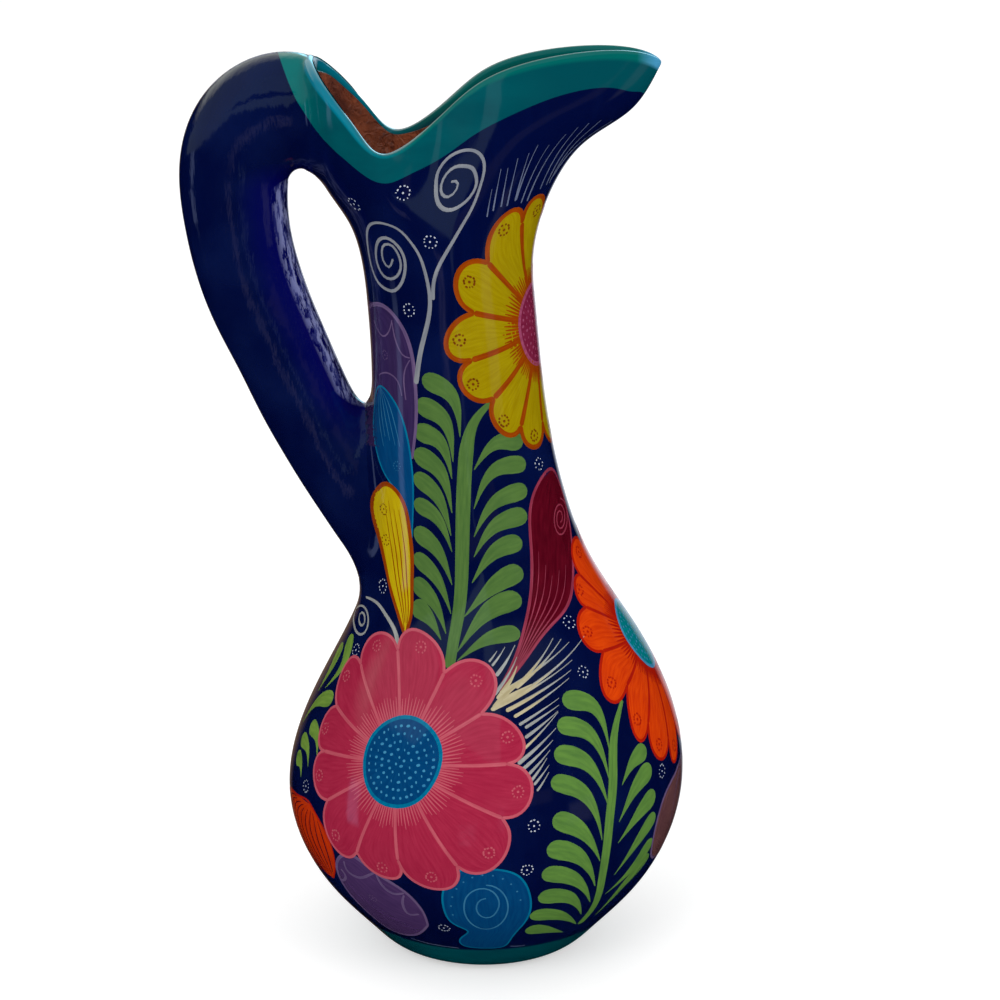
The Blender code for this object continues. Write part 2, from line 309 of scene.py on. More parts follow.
def handle_line():
    """Centre line and half width of the handle, root to root: x, z and half width."""
    lobe = throat_height() + NOTCH_RISE + LOBE_RISE
    upper = np.array([UPPER_ROOT_INSET - LOBE_REACH, lobe - UPPER_ROOT_DROP])
    wall = surface(np.array([math.pi]), np.linspace(0, 1, 400))[:, 0]
    above_belly = wall[:, 2] > BELLY_HEIGHT
    wall_x = np.interp(LOWER_ROOT_HEIGHT, wall[above_belly, 2], wall[above_belly, 0])
    lower = np.array([wall_x + LOWER_ROOT_INSET, LOWER_ROOT_HEIGHT])
    points = []
    for climb, bow, width in HANDLE_ROUTE:
        x, z = lower + climb * (upper - lower)
        points.append((x - bow * HANDLE_BOW, z, width * HANDLE_WIDTH / 2))
    points = np.array(points)
    steps = np.linalg.norm(np.diff(points[:, :2], axis=0), axis=1)
    knots = np.concatenate([[0.0], np.cumsum(steps)])
    return spline_weights(knots, np.linspace(0, knots[-1], HANDLE_ROWS)) @ points


def rounded_inside(line, way):
    """The handle's inner edge, its tight bend rounded as if a rod were laid into it."""
    rod = line[:, :2] + way * (line[:, 2:3] + HANDLE_INSIDE_ROUND)
    hops = np.diff(rod, axis=0)
    for i in range(len(hops) - 2):
        later, apart = hops[i + 2:], rod[i + 2:-1] - rod[i]
        across = hops[i, 0] * later[:, 1] - hops[i, 1] * later[:, 0]
        own = (apart[:, 0] * later[:, 1] - apart[:, 1] * later[:, 0]) / across
        other = (apart[:, 0] * hops[i, 1] - apart[:, 1] * hops[i, 0]) / across
        met = np.flatnonzero((own >= 0) & (own < 1) & (other >= 0) & (other < 1))
        if len(met):
            rod[i + 1:i + 3 + met[-1]] = rod[i] + own[met[-1]] * hops[i]
            break
    return rod - way * HANDLE_INSIDE_ROUND


def handle_grid():
    """Oval sections along the handle, gently lumpy as a rolled coil is."""
    line = handle_line()
    along = unit(np.gradient(line[:, :2], axis=0))
    way = np.stack([-along[:, 1], along[:, 0]], -1)
    inside, outside = rounded_inside(line, way), line[:, :2] - way * line[:, 2:3]
    middle, way = (inside + outside) / 2, unit(inside - outside)
    turn = -np.arange(HANDLE_COLUMNS) * TURN / HANDLE_COLUMNS
    reach = np.linspace(0, 1, HANDLE_ROWS)[:, None]
    lumps = (np.sin(31 * reach + 1.7 * np.sin(turn)) + np.sin(19 * reach - 2 * turn + 0.8)
             + 0.7 * np.sin(47 * reach + 3 * turn) + 0.6 * np.sin(13 * reach + turn + 2.1))
    shrink = SKIN_DEPTH + HANDLE_LUMP * (3.3 - lumps) / 3.3
    half = np.linalg.norm(inside - outside, axis=1)[:, None] / 2 - shrink
    depth = HANDLE_DEPTH / 2 - shrink
    out = half * np.cos(turn)
    grid = np.stack([middle[:, 0:1] + way[:, 0:1] * out, depth * np.sin(turn),
                     middle[:, 1:2] + way[:, 1:2] * out], axis=-1)
    return under_crest(grid)


def under_crest(grid):
    """The handle's top drawn down so that it runs out under the rim's crest."""
    crest = surface(np.radians(np.arange(180.0, 110.0, -1.0)), 1.0)[0]
    side = np.abs(grid[:, :, 1])
    past = grid[:, :, 0] - np.interp(side, crest[:, 1], crest[:, 0])
    top = np.interp(side, crest[:, 1], crest[:, 2]) - CREST_DROP
    top += np.interp(past, CREST_RUN[0], CREST_RUN[1])
    grid[:, :, 2] = np.minimum(grid[:, :, 2], top)
    return grid


def grid_faces(rows, columns, start=0, closed=True):
    """Quads over a grid of vertices whose columns go round."""
    r = np.arange(rows - 1)[:, None] * columns + start
    c = np.arange(columns if closed else columns - 1)[None, :]
    n = (c + 1) % columns
    return np.stack([r + c, r + n, r + n + columns, r + c + columns], axis=-1).reshape(-1, 4)


def triangles_of(grid):
    """The triangles, in pairs, of a grid whose columns go round."""
    quads = grid_faces(*grid.shape[:2])
    return np.stack([quads[:, [0, 1, 2]], quads[:, [0, 2, 3]]], axis=1).reshape(-1, 3)


def tree_of(grid):
    """A search tree over a grid whose columns go round."""
    return BVHTree.FromPolygons(grid.reshape(-1, 3).tolist(), triangles_of(grid).tolist())


def signed(tree, points):
    """Distance out of a form, negative inside it, and the way straight out, at each point."""
    distance = np.empty(len(points))
    way = np.empty((len(points), 3))
    for i, point in enumerate(points):
        place, normal, _, _ = tree.find_nearest(point)
        off = Vector(point) - place
        sign = 1 if off.dot(normal) >= 0 else -1
        distance[i] = sign * off.length
        way[i] = off.normalized() * sign if off.length > 3e-4 else normal
    return distance, way


def melt(own, other, reach):
    """Smooth union of two distances: its value and the first one's share in it."""
    near = np.maximum(reach - np.abs(own - other), 0) / reach
    share = np.where(own < other, 1 - near / 2, near / 2)
    return np.minimum(own, other) - near * near * reach / 4, share


def settle(points, ways, other, reach):
    """Lift points along their ways on to the smooth union with the other form."""
    low, high = np.zeros(len(points)), reach / 4
    for _ in range(9):
        middle = (low + high) / 2
        apart, _ = signed(other, points + ways * middle[:, None])
        inside = melt(middle, apart, reach)[0] < 0
        low, high = np.where(inside, middle, low), np.where(inside, high, middle)
    lift = (low + high) / 2
    apart, away = signed(other, points + ways * lift[:, None])
    _, share = melt(lift, apart, reach)
    return lift, unit(ways * share[:, None] + away * (1 - share[:, None]))


def sink(points, tree):
    """Keep points from reaching through the wall: none lies deeper than the roots do."""
    depth, way = signed(tree, points)
    deep = depth < -ROOT_DEPTH
    points[deep] -= way[deep] * (ROOT_DEPTH + depth[deep])[:, None]
    return points


def fillet_reach(heights):
    """How far a fillet reaches: wide at the lower root, tight under the rim, least at its crest."""
    return np.interp(heights, FILLET_HEIGHTS, (ROOT_FILLET, UPPER_FILLET, UPPER_FILLET, LIP_FILLET))


def lip_rows(edge):
    """The rim's rounded top, from the outer face's last ring over the crest to the inner."""
    crest = surface(COMPASS, 1.0)[0] - [0, 0, CREST_DROP]
    inside = inner(COMPASS, np.array([CREST_PLACE]))[0]
    middle, rise = (edge + inside) / 2, crest - edge
    turns = [math.pi * step / LIP_ROWS for step in range(1, LIP_ROWS)]
    return [middle + (edge - middle) * math.cos(turn) + rise * math.sin(turn) for turn in turns]


# The outer face's grid
COMPASS = np.arange(COLUMNS) * TURN / COLUMNS
ROW_PLACES = np.linspace(0, CREST_PLACE, OUTER_ROWS)


def make_forms():
    """The two skins' grids with their fillets, and the way straight out of each."""
    face = surface(COMPASS, ROW_PLACES)
    ways = outward(COMPASS, ROW_PLACES)
    face = face - ways * SKIN_DEPTH
    face[:, :, 2] = np.maximum(face[:, :, 2], 0)
    coil = handle_grid()
    around = np.roll(coil, -1, 1) - np.roll(coil, 1, 1)
    coil_ways = unit(np.cross(around, np.gradient(coil, axis=0)))
    over = lip_rows(face[-1])[:LIP_ROWS // 2]
    face_tree, coil_tree = tree_of(np.concatenate([face, over])), tree_of(coil)

    behind = np.abs(COMPASS - math.pi) < HANDLE_SIDE
    near = behind[None, :] & (ROW_PLACES > HANDLE_FOOT_PLACE)[:, None]
    apart, _ = signed(coil_tree, face[near])
    reach = fillet_reach(face[near][:, 2])
    close = apart < reach
    picked = np.flatnonzero(near.ravel())[close]
    flat_face, flat_ways = face.reshape(-1, 3), ways.reshape(-1, 3)
    lift, leaning = settle(flat_face[picked], flat_ways[picked], coil_tree, reach[close])
    # the fillet dies out below the rounded edge of the rim
    below = (CREST_PLACE - ROW_PLACES[picked // COLUMNS]) * WALL_LENGTH
    ease = eased(below / FILLET_FADE)[:, None]
    lifts = np.zeros((OUTER_ROWS * COLUMNS, 3))
    lifts[picked] = flat_ways[picked] * lift[:, None] * ease
    normals = flat_ways.copy()
    normals[picked] = unit(leaning * ease + flat_ways[picked] * (1 - ease))

    flat_coil, flat_coil_ways = coil.reshape(-1, 3), coil_ways.reshape(-1, 3)
    depth, way_out = signed(face_tree, flat_coil)
    reach = fillet_reach(flat_coil[:, 2])
    close = np.flatnonzero(depth < reach)
    lift, leaning = settle(flat_coil[close], flat_coil_ways[close], face_tree, reach[close])
    coil_normals = flat_coil_ways.copy()
    coil_normals[close] = leaning
    moved = flat_coil.copy()
    moved[close] += flat_coil_ways[close] * lift[:, None]
    moved = sink(moved, face_tree).reshape(coil.shape)
    ends = [sink(np.concatenate(cone_rows(ring, ring.mean(axis=0), ROOT_SHARES)), face_tree)
            for ring in (moved[0], moved[-1])]
    return {
        "face": face, "ways": ways,
        "lifts": lifts.reshape(face.shape), "normals": normals.reshape(face.shape),
        "coil": moved, "coil_normals": coil_normals.reshape(coil.shape), "coil_ends": ends,
    }


def new_object(name, data):
    piece = bpy.data.objects.new(name, data)
    bpy.context.scene.collection.objects.link(piece)
    return piece


def flat_object(name, corners):
    """One flat face through the corners."""
    mesh = bpy.data.meshes.new(name)
    mesh.from_pydata(corners, [], [tuple(range(len(corners)))])
    return new_object(name, mesh)


def mesh_object(name, points, faces, normals):
    """A smooth mesh from numpy arrays; a normal of zero length is left to Blender."""
    mesh = bpy.data.meshes.new(name)
    mesh.from_pydata(points.tolist(), [], [list(face) for face in faces])
    mesh.update()
    mesh.shade_smooth()
    own = np.array([vertex.normal for vertex in mesh.vertices])
    given = np.linalg.norm(normals, axis=1) > 0.5
    own[given] = normals[given]
    mesh.normals_split_custom_set_from_vertices(own.tolist())
    return new_object(name, mesh)


def carry(mesh, name, values):
    """Keep a number at each vertex for the material to read."""
    attribute = mesh.attributes.new(name, "FLOAT", "POINT")
    attribute.data.foreach_set("value", np.asarray(values, np.float32))


def cone_rows(ring, centre, shares):
    """Rings shrunk towards a centre."""
    return [centre + (ring - centre) * share for share in shares]


def capped(rows, hubs):
    """Points and faces of a closed form: rings of points, with a fan to a hub at each end."""
    count, columns = rows.shape[:2]
    faces = [tuple(face) for face in grid_faces(count, columns)]
    hub, last = count * columns, (count - 1) * columns
    for i in range(columns):
        j = (i + 1) % columns
        faces += [(j, i, hub), (last + i, last + j, hub + 1)]
    return np.concatenate([rows.reshape(-1, 3), hubs]), faces


class Canvas:
    """The jug's outer face as the painter meets it: spots, places in space and pixels."""

    def __init__(self, forms):
        fine_angles, fine_places = 720, np.linspace(0, 1, 1000)
        self.face = surface(np.arange(fine_angles) * TURN / fine_angles, fine_places)
        across = (np.roll(self.face, -1, 1) - np.roll(self.face, 1, 1)) * fine_angles / (2 * TURN)
        upward = np.gradient(self.face, fine_places, axis=0)
        self.ways = unit(np.cross(across, upward))
        self.gauge = np.linalg.norm(np.stack([across, upward], -2), axis=-1)
        self.lifts = forms["lifts"]
        skin = forms["face"] + forms["lifts"]
        self.corners, self.triangles = skin.reshape(-1, 3), triangles_of(skin)
        self.tree = tree_of(skin)

    @staticmethod
    def sample(grid, angle, place, top=1.0):
        """Value of a place-by-angle grid between its knots."""
        rows, columns = grid.shape[:2]
        along = np.clip(place / top, 0, 1) * (rows - 1)
        row = np.minimum(along.astype(int), rows - 2)
        turn = (angle / TURN % 1) * columns
        column = np.floor(turn).astype(int)
        u, v = (along - row)[:, None], (turn - column)[:, None]
        left, right = column % columns, (column + 1) % columns
        return ((1 - u) * ((1 - v) * grid[row, left] + v * grid[row, right])
                + u * ((1 - v) * grid[row + 1, left] + v * grid[row + 1, right]))

    def at(self, spots, height):
        """Points at a height over the skin, and the way out of it, for spots (angle, place)."""
        angle, place = spots[:, 0], spots[:, 1]
        way = unit(self.sample(self.ways, angle, place))
        lift = self.sample(self.lifts, angle, place, CREST_PLACE)
        points = self.sample(self.face, angle, place) + lift
        return points + way * (height - SKIN_DEPTH), way

    def measure(self, spots):
        """Metres to one radian and to one share of the wall, at each spot."""
        return self.sample(self.gauge, spots[:, 0], spots[:, 1])

    def cast(self, pixels):
        """The spot that each pixel of the photograph's frame shows."""
        eye = Vector(CAMERA_PLACE)
        ahead, right, above = (Vector(way) for way in camera_ways())
        spots = []
        for x, y in pixels:
            way = ahead + right * ((x - FRAME_SIDE / 2) / FOCAL_PIXELS)
            way -= above * ((y - FRAME_SIDE / 2) / FOCAL_PIXELS)
            place, _, face, _ = self.tree.ray_cast(eye, way.normalized())
            if place is None:
                raise ValueError(f"pixel {x}, {y} lies off the jug")
            corners = self.triangles[face]
            rows, columns = corners // COLUMNS, corners % COLUMNS
            if columns.max() - columns.min() > COLUMNS / 2:
                columns = np.where(columns < COLUMNS / 2, columns + COLUMNS, columns)
            heights = rows * CREST_PLACE / (OUTER_ROWS - 1)
            flat = [Vector((column * TURN / COLUMNS, height, 0))
                    for column, height in zip(columns, heights)]
            spot = barycentric_transform(place, *(Vector(self.corners[c]) for c in corners), *flat)
            spots.append(((spot.x + math.pi) % TURN - math.pi, spot.y))
        return np.array(spots)


# Lower edge of the turquoise band below the rim, and upper edge of the one round the foot,
# as the photograph shows them
RIM_BAND_PIXELS = (
    (311, 124), (324, 142), (351, 165), (372, 180), (386, 183), (405, 177), (416, 172), (430, 165),
    (443, 157), (457, 148), (480, 131), (507, 116), (529, 107), (551, 99), (573, 92), (590, 89),
    (610, 89), (628, 90), (643, 92),
)
FOOT_BAND_PIXELS = ((408, 938), (440, 946), (478, 951), (520, 948), (582, 930))
# The rim band's edge goes on over the handle's root, from its top down to the notch
ROOT_BAND_PIXELS = (
    (272, 30), (278, 53), (282.8, 67), (287.9, 81), (295.5, 98.9), (304.4, 112.9), (313.4, 126.9),
    (323.6, 139.7), (336.3, 152.4), (351.6, 165.2), (364.4, 174), (375.9, 180.5), (387.3, 182.4),
    (410.3, 176),
)
# Pixel columns in which the edge as read on the root gives way to the one round the neck
ROOT_BAND_FADE = (345, 372)
# Only this high up does the band lie over the root
ROOT_BAND_HEIGHT = 0.3
# How far outside a band a point without one counts, and how far inside it the crest does
NO_BAND, LIP_COVER = -0.02, 0.006
# Heights between which the handle's inner face carries a painted sheen: a brighter blue and pale
# streaks that stand for the gloss's highlights
SHEEN_HEIGHTS = (0.195, 0.225, 0.303, 0.315)
# How far the rim band reaches down inside, by degrees from the spout
RIM_BAND_INSIDE = ((0, 88, 104, 118, 180), (0.0080, 0.0070, 0.0026, 0.0014, 0.0036))
# How far the lip's lighter tone, partly its own paint and partly a painted highlight, reaches down
# outside, then inside
LIP_TINT_AND_SHEEN = (0.0018, 0.0038)


def from_spout(angle):
    """Compass angle from the spout, alike on both sides."""
    return np.abs((angle + math.pi) % TURN - math.pi)


def camera_ways():
    """The camera's ahead, right and up."""
    tilt, turn = CAMERA_TILT, CAMERA_TURN
    ahead = np.array([-math.sin(turn) * math.cos(tilt), math.cos(turn) * math.cos(tilt),
                      -math.sin(tilt)])
    right = np.array([math.cos(turn), math.sin(turn), 0])
    return ahead, right, np.cross(right, ahead)


def pixels_of(points):
    """Pixels of points, or of their twins on the near side, and metres to a pixel."""
    ahead, right, above = camera_ways()
    away = np.stack([points[:, 0], -np.abs(points[:, 1]), points[:, 2]], -1) - CAMERA_PLACE
    scale = away @ ahead / FOCAL_PIXELS
    across, down = away @ right / scale, away @ above / scale
    return np.stack([FRAME_SIDE / 2 + across, FRAME_SIDE / 2 - down], -1), scale


def band_reach(points):
    """How far points lie inside the rim band's edge as it crosses the handle's root."""
    pixels, scale = pixels_of(points)
    knots = np.array(ROOT_BAND_PIXELS, float)
    start, hop = knots[:-1], np.diff(knots, axis=0)
    apart = pixels[:, None] - start
    share = np.clip((apart * hop).sum(-1) / (hop * hop).sum(-1), 0, 1)
    off = apart - hop * share[:, :, None]
    far = np.linalg.norm(off, axis=-1)
    nearest = far.argmin(axis=1)
    rows = np.arange(len(points))
    off, hop = off[rows, nearest], hop[nearest]
    side = np.sign(hop[:, 1] * off[:, 0] - hop[:, 0] * off[:, 1])
    return side * far[rows, nearest] * scale


def band_places(canvas, angle):
    """Place of the rim band's lower edge at each compass angle, alike on both sides."""
    spots = canvas.cast(RIM_BAND_PIXELS)
    order = np.argsort(np.abs(spots[:, 0]))
    turn, place = np.abs(spots[order, 0]), spots[order, 1]
    turn = np.concatenate([[0.0], turn, [math.pi]])
    place = np.concatenate([[place[0]], place, [place[-1]]])
    shifts = (-0.05, -0.025, 0, 0.025, 0.05)
    wave = 0.0003 * np.sin(7 * angle + 0.6) + 0.0002 * np.sin(17 * angle)
    reach = from_spout(angle)
    smooth = sum(np.interp(reach + shift, turn, place) for shift in shifts) / len(shifts)
    return smooth + wave / WALL_LENGTH


def band_height(canvas, angle):
    """Height of the foot band's upper edge, drawn by hand on the wheel."""
    height = canvas.at(canvas.cast(FOOT_BAND_PIXELS), 0)[0][:, 2].mean()
    return height + 0.0006 * np.sin(angle - 0.4) + 0.0003 * np.sin(5 * angle + 1.0)


def make_body_skin(forms, canvas):
    """Foot, body, neck and mouth as the one smoothed clay wall that the painter got."""
    outer = forms["face"] + forms["lifts"]
    lip = lip_rows(outer[-1])
    depths = np.linspace(0, 0.30, 400)
    heights = inner(np.array([0.0]), depths)[:, 0, 2]
    start = np.interp(FLOOR_THICKNESS + 0.0006, heights, depths)
    inner_places = np.linspace(CREST_PLACE, start, INNER_ROWS)
    within = inner(COMPASS, inner_places)
    floor_centre, foot_centre = np.array([0, 0, FLOOR_THICKNESS]), np.zeros(3)
    floor = cone_rows(within[-1] * [1, 1, 0] + floor_centre, floor_centre, (0.94, 0.7, 0.4, 0.15))
    heel = cone_rows(outer[0], foot_centre, (0.15, 0.5, 0.9))
    rows = np.array(heel + list(outer) + lip + list(within) + floor)
    points, faces = capped(rows, [foot_centre, floor_centre])
    first = len(heel) * COLUMNS
    normals = np.zeros_like(points)
    covered = (OUTER_ROWS - 1) * COLUMNS
    normals[first + COLUMNS:first + covered] = forms["normals"].reshape(-1, 3)[COLUMNS:covered]
    skin = mesh_object("body_skin", points, faces, normals)

    teal = np.full(rows.shape[:2], NO_BAND)
    clay, near_lip = np.zeros((2, *rows.shape[:2]))
    low = band_places(canvas, COMPASS)
    first_lip = len(heel) + OUTER_ROWS
    outer_rows, over_rows = slice(len(heel), first_lip), slice(first_lip, first_lip + len(lip))
    inner_rows = slice(over_rows.stop, over_rows.stop + INNER_ROWS)
    outer_depth = ((CREST_PLACE - ROW_PLACES) * WALL_LENGTH)[:, None]
    inner_depth = ((CREST_PLACE - inner_places) * WALL_LENGTH)[:, None]
    above = (ROW_PLACES[:, None] - low[None, :]) * WALL_LENGTH
    flat = outer.reshape(-1, 3)
    share = np.interp(pixels_of(flat)[0][:, 0], ROOT_BAND_FADE, (0, 1))
    share = np.where(flat[:, 2] > ROOT_BAND_HEIGHT, share, 1)
    above = (above.ravel() * share + band_reach(flat) * (1 - share)).reshape(above.shape)
    below = band_height(canvas, COMPASS)[None, :] - outer[:, :, 2]
    teal[outer_rows] = np.maximum(above, below)
    teal[over_rows] = LIP_COVER
    breadth = np.interp(np.degrees(from_spout(COMPASS)), *RIM_BAND_INSIDE)
    breadth += 0.0003 * np.sin(6 * COMPASS + 1) + 0.0002 * np.sin(15 * COMPASS)
    teal[inner_rows] = breadth[None, :] - inner_depth
    # The lip mask, where the band takes its lighter tone and painted highlight
    near_lip[outer_rows] = 1 - outer_depth / LIP_TINT_AND_SHEEN[0]
    near_lip[over_rows] = 1
    near_lip[inner_rows] = 1 - inner_depth / LIP_TINT_AND_SHEEN[1]
    clay[:len(heel)] = 1
    clay[first_lip + len(lip) // 2:] = 1
    for name, values, at_hubs in (("teal", teal, NO_BAND), ("clay", clay, 1), ("lip", near_lip, 0)):
        carry(skin.data, name, np.concatenate([values.ravel(), [at_hubs] * 2]))
    return skin


def make_handle_skin(forms):
    """The handle, with both roots smoothed into the wall."""
    coil = forms["coil"]
    upper, lower = (end.reshape(-1, HANDLE_COLUMNS, 3) for end in forms["coil_ends"])
    rows = np.concatenate([upper[::-1], coil, lower])
    points, faces = capped(rows, [rows[0].mean(axis=0), rows[-1].mean(axis=0)])
    normals = np.zeros_like(points)
    first = len(upper) * HANDLE_COLUMNS
    normals[first:first + coil.size // 3] = forms["coil_normals"].reshape(-1, 3)
    skin = mesh_object("handle_skin", points, faces, normals)
    reach = np.where(points[:, 2] > ROOT_BAND_HEIGHT, band_reach(points), NO_BAND)
    carry(skin.data, "teal", reach)
    carry(skin.data, "clay", np.zeros(len(points)))
    # How far each point faces the handle's inside, kept within the heights of the painted sheen
    inward = np.tile(np.cos(np.arange(HANDLE_COLUMNS) * TURN / HANDLE_COLUMNS), len(rows))
    inward *= np.interp(rows[:, :, 2].ravel(), SHEEN_HEIGHTS, (0, 1, 1, 0))
    carry(skin.data, "inward", np.concatenate([inward, [0, 0]]))
    return skin


# How far the lowest coat stands over the skin, each level over the last, and how deep borders go
PAINT_LIFT = 0.00004
PAINT_STEP = 0.000018
PAINT_TUCK = 0.00006


class Chart:
    """A flat map, in metres, of the outer face round one spot."""

    def __init__(self, canvas, middle):
        self.middle = middle
        self.places = np.linspace(0, 1, 400)
        gauge = canvas.measure(np.stack([np.full(400, middle[0]), self.places], -1))
        self.radius = gauge[:, 0]
        rise = np.cumsum(gauge[:, 1]) / 399
        self.rise = rise - np.interp(middle[1], self.places, rise)

    def flat(self, spots):
        turn = (spots[:, 0] - self.middle[0] + math.pi) % TURN - math.pi
        return np.stack([turn * np.interp(spots[:, 1], self.places, self.radius),
                         np.interp(spots[:, 1], self.places, self.rise)], -1)

    def spots(self, flat):
        place = np.interp(flat[..., 1], self.rise, self.places)
        turn = flat[..., 0] / np.interp(place, self.places, self.radius)
        return np.stack([self.middle[0] + turn, place], -1)


class Brush:
    """Coats of paint in low relief, gathered by colour and laid on both sides of the jug."""

    def __init__(self, canvas):
        self.canvas = canvas
        self.coats = {}
        self.random = np.random.default_rng(11)

    def spots(self, pixels):
        """Spots under pixels, with no jump where a line crosses the back."""
        spots = self.canvas.cast(pixels)
        spots[:, 0] = np.unwrap(spots[:, 0])
        return spots

    def lay(self, colour, grid, level, hub=False, twice=True):
        """A sheet of paint over a grid of spots, its border tucked under the skin."""
        plain = self.canvas.at(grid.reshape(-1, 2), 0)[0].reshape(*grid.shape[:2], 3)
        run = np.linalg.norm(np.diff(plain, axis=0), axis=2).mean(axis=1).cumsum()
        side = np.linalg.norm(np.diff(plain, axis=1), axis=2).mean(axis=0).cumsum()
        run, side = np.concatenate([[0], run, run[-1:]]), np.concatenate([[0], side, side[-1:]])
        border = ((0, 1), (0, 0), (0, 0)) if hub else ((1, 1), (1, 1), (0, 0))
        grid = np.pad(grid, border, mode="edge")
        rows, columns = grid.shape[:2]
        height = np.full((rows, columns), PAINT_LIFT + level * PAINT_STEP)
        height[-1] = -PAINT_TUCK
        faces = grid_faces(rows, columns, 0, hub)
        if not hub:
            height[0] = height[:, 0] = height[:, -1] = -PAINT_TUCK
            run, side = np.concatenate([[0], run]), np.concatenate([[0], side])
            corners = [0, columns - 2, len(faces) - columns + 1, len(faces) - 1]
            faces = np.delete(faces, corners, axis=0)
        shift = self.random.random(2) * 4
        run, side = np.meshgrid(run[:rows] + shift[0], side[:columns] + shift[1], indexing="ij")
        for mirror in (1, -1) if twice else (1,):
            points, ways = self.canvas.at(grid.reshape(-1, 2) * [mirror, 1], height.reshape(-1, 1))
            corner = points[faces]
            facing = np.cross(corner[:, 2] - corner[:, 0], corner[:, 3] - corner[:, 1])
            outer = faces if (facing * ways[faces[:, 0]]).sum() > 0 else faces[:, ::-1]
            own = colour if mirror == 1 else FAR_SIDE.get(colour, colour)
            self.coats.setdefault(own, []).append((points, ways, outer, run.ravel(), side.ravel()))

    def reach(self, knots):
        """How far each knot lies along the chords between them, in metres."""
        gauge = self.canvas.measure(knots)
        hops = np.linalg.norm(np.diff(knots, axis=0) * (gauge[1:] + gauge[:-1]) / 2, axis=1)
        return np.concatenate([[0.0], np.cumsum(hops)])

    def curve(self, knots, shares):
        reach = self.reach(knots)
        return spline_weights(reach, shares * reach[-1]) @ knots

    def lines(self, colour, lines, halves, level, columns=3):
        """Strokes through pixels."""
        for pixels in lines:
            self.stroke(colour, self.spots(pixels), halves, level, columns)

    def stroke(self, colour, knots, halves, level, columns=3, step=0.0018, twice=True):
        """A stroke with round ends; its half widths come at even shares of its length."""
        length = self.reach(knots)[-1]
        head, tail = min(halves[0], length / 3), min(halves[-1], length / 3)
        turn = np.linspace(0.15, math.pi / 2, 4)
        count = max(2, math.ceil((length - head - tail) / step))
        along = np.concatenate([head * (1 - np.cos(turn)),
                                np.linspace(head, length - tail, count + 1)[1:-1],
                                length - tail * (1 - np.cos(turn[::-1]))])
        half = np.interp(along / length, np.linspace(0, 1, len(halves)), halves)
        for end, off in ((head, along), (tail, length - along)):
            half = half * np.sqrt(1 - (1 - np.clip(off / end, 0, 1)) ** 2)
        line = self.curve(knots, along / length)
        gauge = self.canvas.measure(line)
        way = unit(np.gradient(line, along, axis=0) * gauge)
        side = np.stack([-way[:, 1], way[:, 0]], -1) / gauge
        out = half[:, None] * np.linspace(-1, 1, columns)
        self.lay(colour, line[:, None] + side[:, None] * out[:, :, None], level, twice=twice)

    def blade(self, colour, left, right, level, step=0.0018, twice=True):
        """A shape filled between two edge lines that run the same way; returns its grid."""
        rows = max(5, math.ceil(max(self.reach(left)[-1], self.reach(right)[-1]) / step))
        shares = np.linspace(0.004, 0.996, rows)
        left, right = self.curve(left, shares), self.curve(right, shares)
        breadth = np.linalg.norm((right - left) * self.canvas.measure(left), axis=1).max()
        across = np.linspace(0, 1, max(4, math.ceil(breadth / step)))[None, :, None]
        grid = left[:, None] * (1 - across) + right[:, None] * across
        self.lay(colour, grid, level, twice=twice)
        return grid

    def veins(self, colour, grid, places, start, end, half, level, twice=True):
        """Fine lines along a blade, at shares of its breadth, between shares of its length."""
        rows, columns = grid.shape[:2]
        for k, place in enumerate(places):
            jitter = 0.04 * self.random.standard_normal(2)
            span = np.clip(np.array([start, end]) + jitter, 0, 0.97) * (rows - 1)
            picked = np.linspace(*span, 6)
            column = place * (columns - 1)
            low = min(int(column), columns - 2)
            lines = [[np.interp(picked, np.arange(rows), grid[:, j, axis]) for axis in (0, 1)]
                     for j in (low, low + 1)]
            over = column - low
            knots = np.array(lines[0]).T * (1 - over) + np.array(lines[1]).T * over
            halves = (half * 0.3, half, half, half * 0.5)
            self.stroke(colour, knots, halves, level, 2, 0.003, twice)

    def dot(self, colour, spot, radius, level, sides=7, twice=True):
        turn = (np.arange(sides) + self.random.random()) * TURN / sides
        ring = np.stack([np.cos(turn), np.sin(turn)], -1) * radius / self.canvas.measure(spot[None])
        self.lay(colour, spot + ring * np.array([0.02, 1])[:, None, None], level, True, twice)

    def rosette(self, colour, spot, radius, level, twice=True, grain=0.00033):
        """A ring of dabs round one more."""
        self.dot(colour, spot, grain * 1.15, level, twice=twice)
        count = 9 + int(self.random.integers(3))
        gauge = self.canvas.measure(spot[None])[0]
        for turn in (np.arange(count) + 0.3 * self.random.random(count)) * TURN / count:
            way = np.array([math.cos(turn), math.sin(turn)])
            bend = np.array([-way[1], way[0]]) * grain * self.random.uniform(0.5, 1.3)
            mid = way * radius * self.random.uniform(0.92, 1.08)
            knots = np.array([spot + (mid - bend) / gauge, spot + (mid + bend) / gauge])
            self.stroke(colour, knots, (grain * 0.8, grain * 0.8), level, 2, twice=twice)

    def pieces(self):
        """One mesh to a colour."""
        for colour, coats in self.coats.items():
            starts = np.cumsum([0] + [len(coat[0]) for coat in coats])
            faces = np.concatenate([coat[2] + start for coat, start in zip(coats, starts)])
            points, ways, run, side = (
                np.concatenate([coat[i] for coat in coats]) for i in (0, 1, 3, 4))
            piece = mesh_object("paint_" + colour, points, faces, ways)
            carry(piece.data, "run", run)
            carry(piece.data, "side", side)
            yield colour, piece


# On the far side some motifs change their colours
FAR_SIDE = {"umber": "rose_pale", "rose": "yellow", "rose_pale": "rust", "yellow": "rose",
            "rust": "rose_pale"}

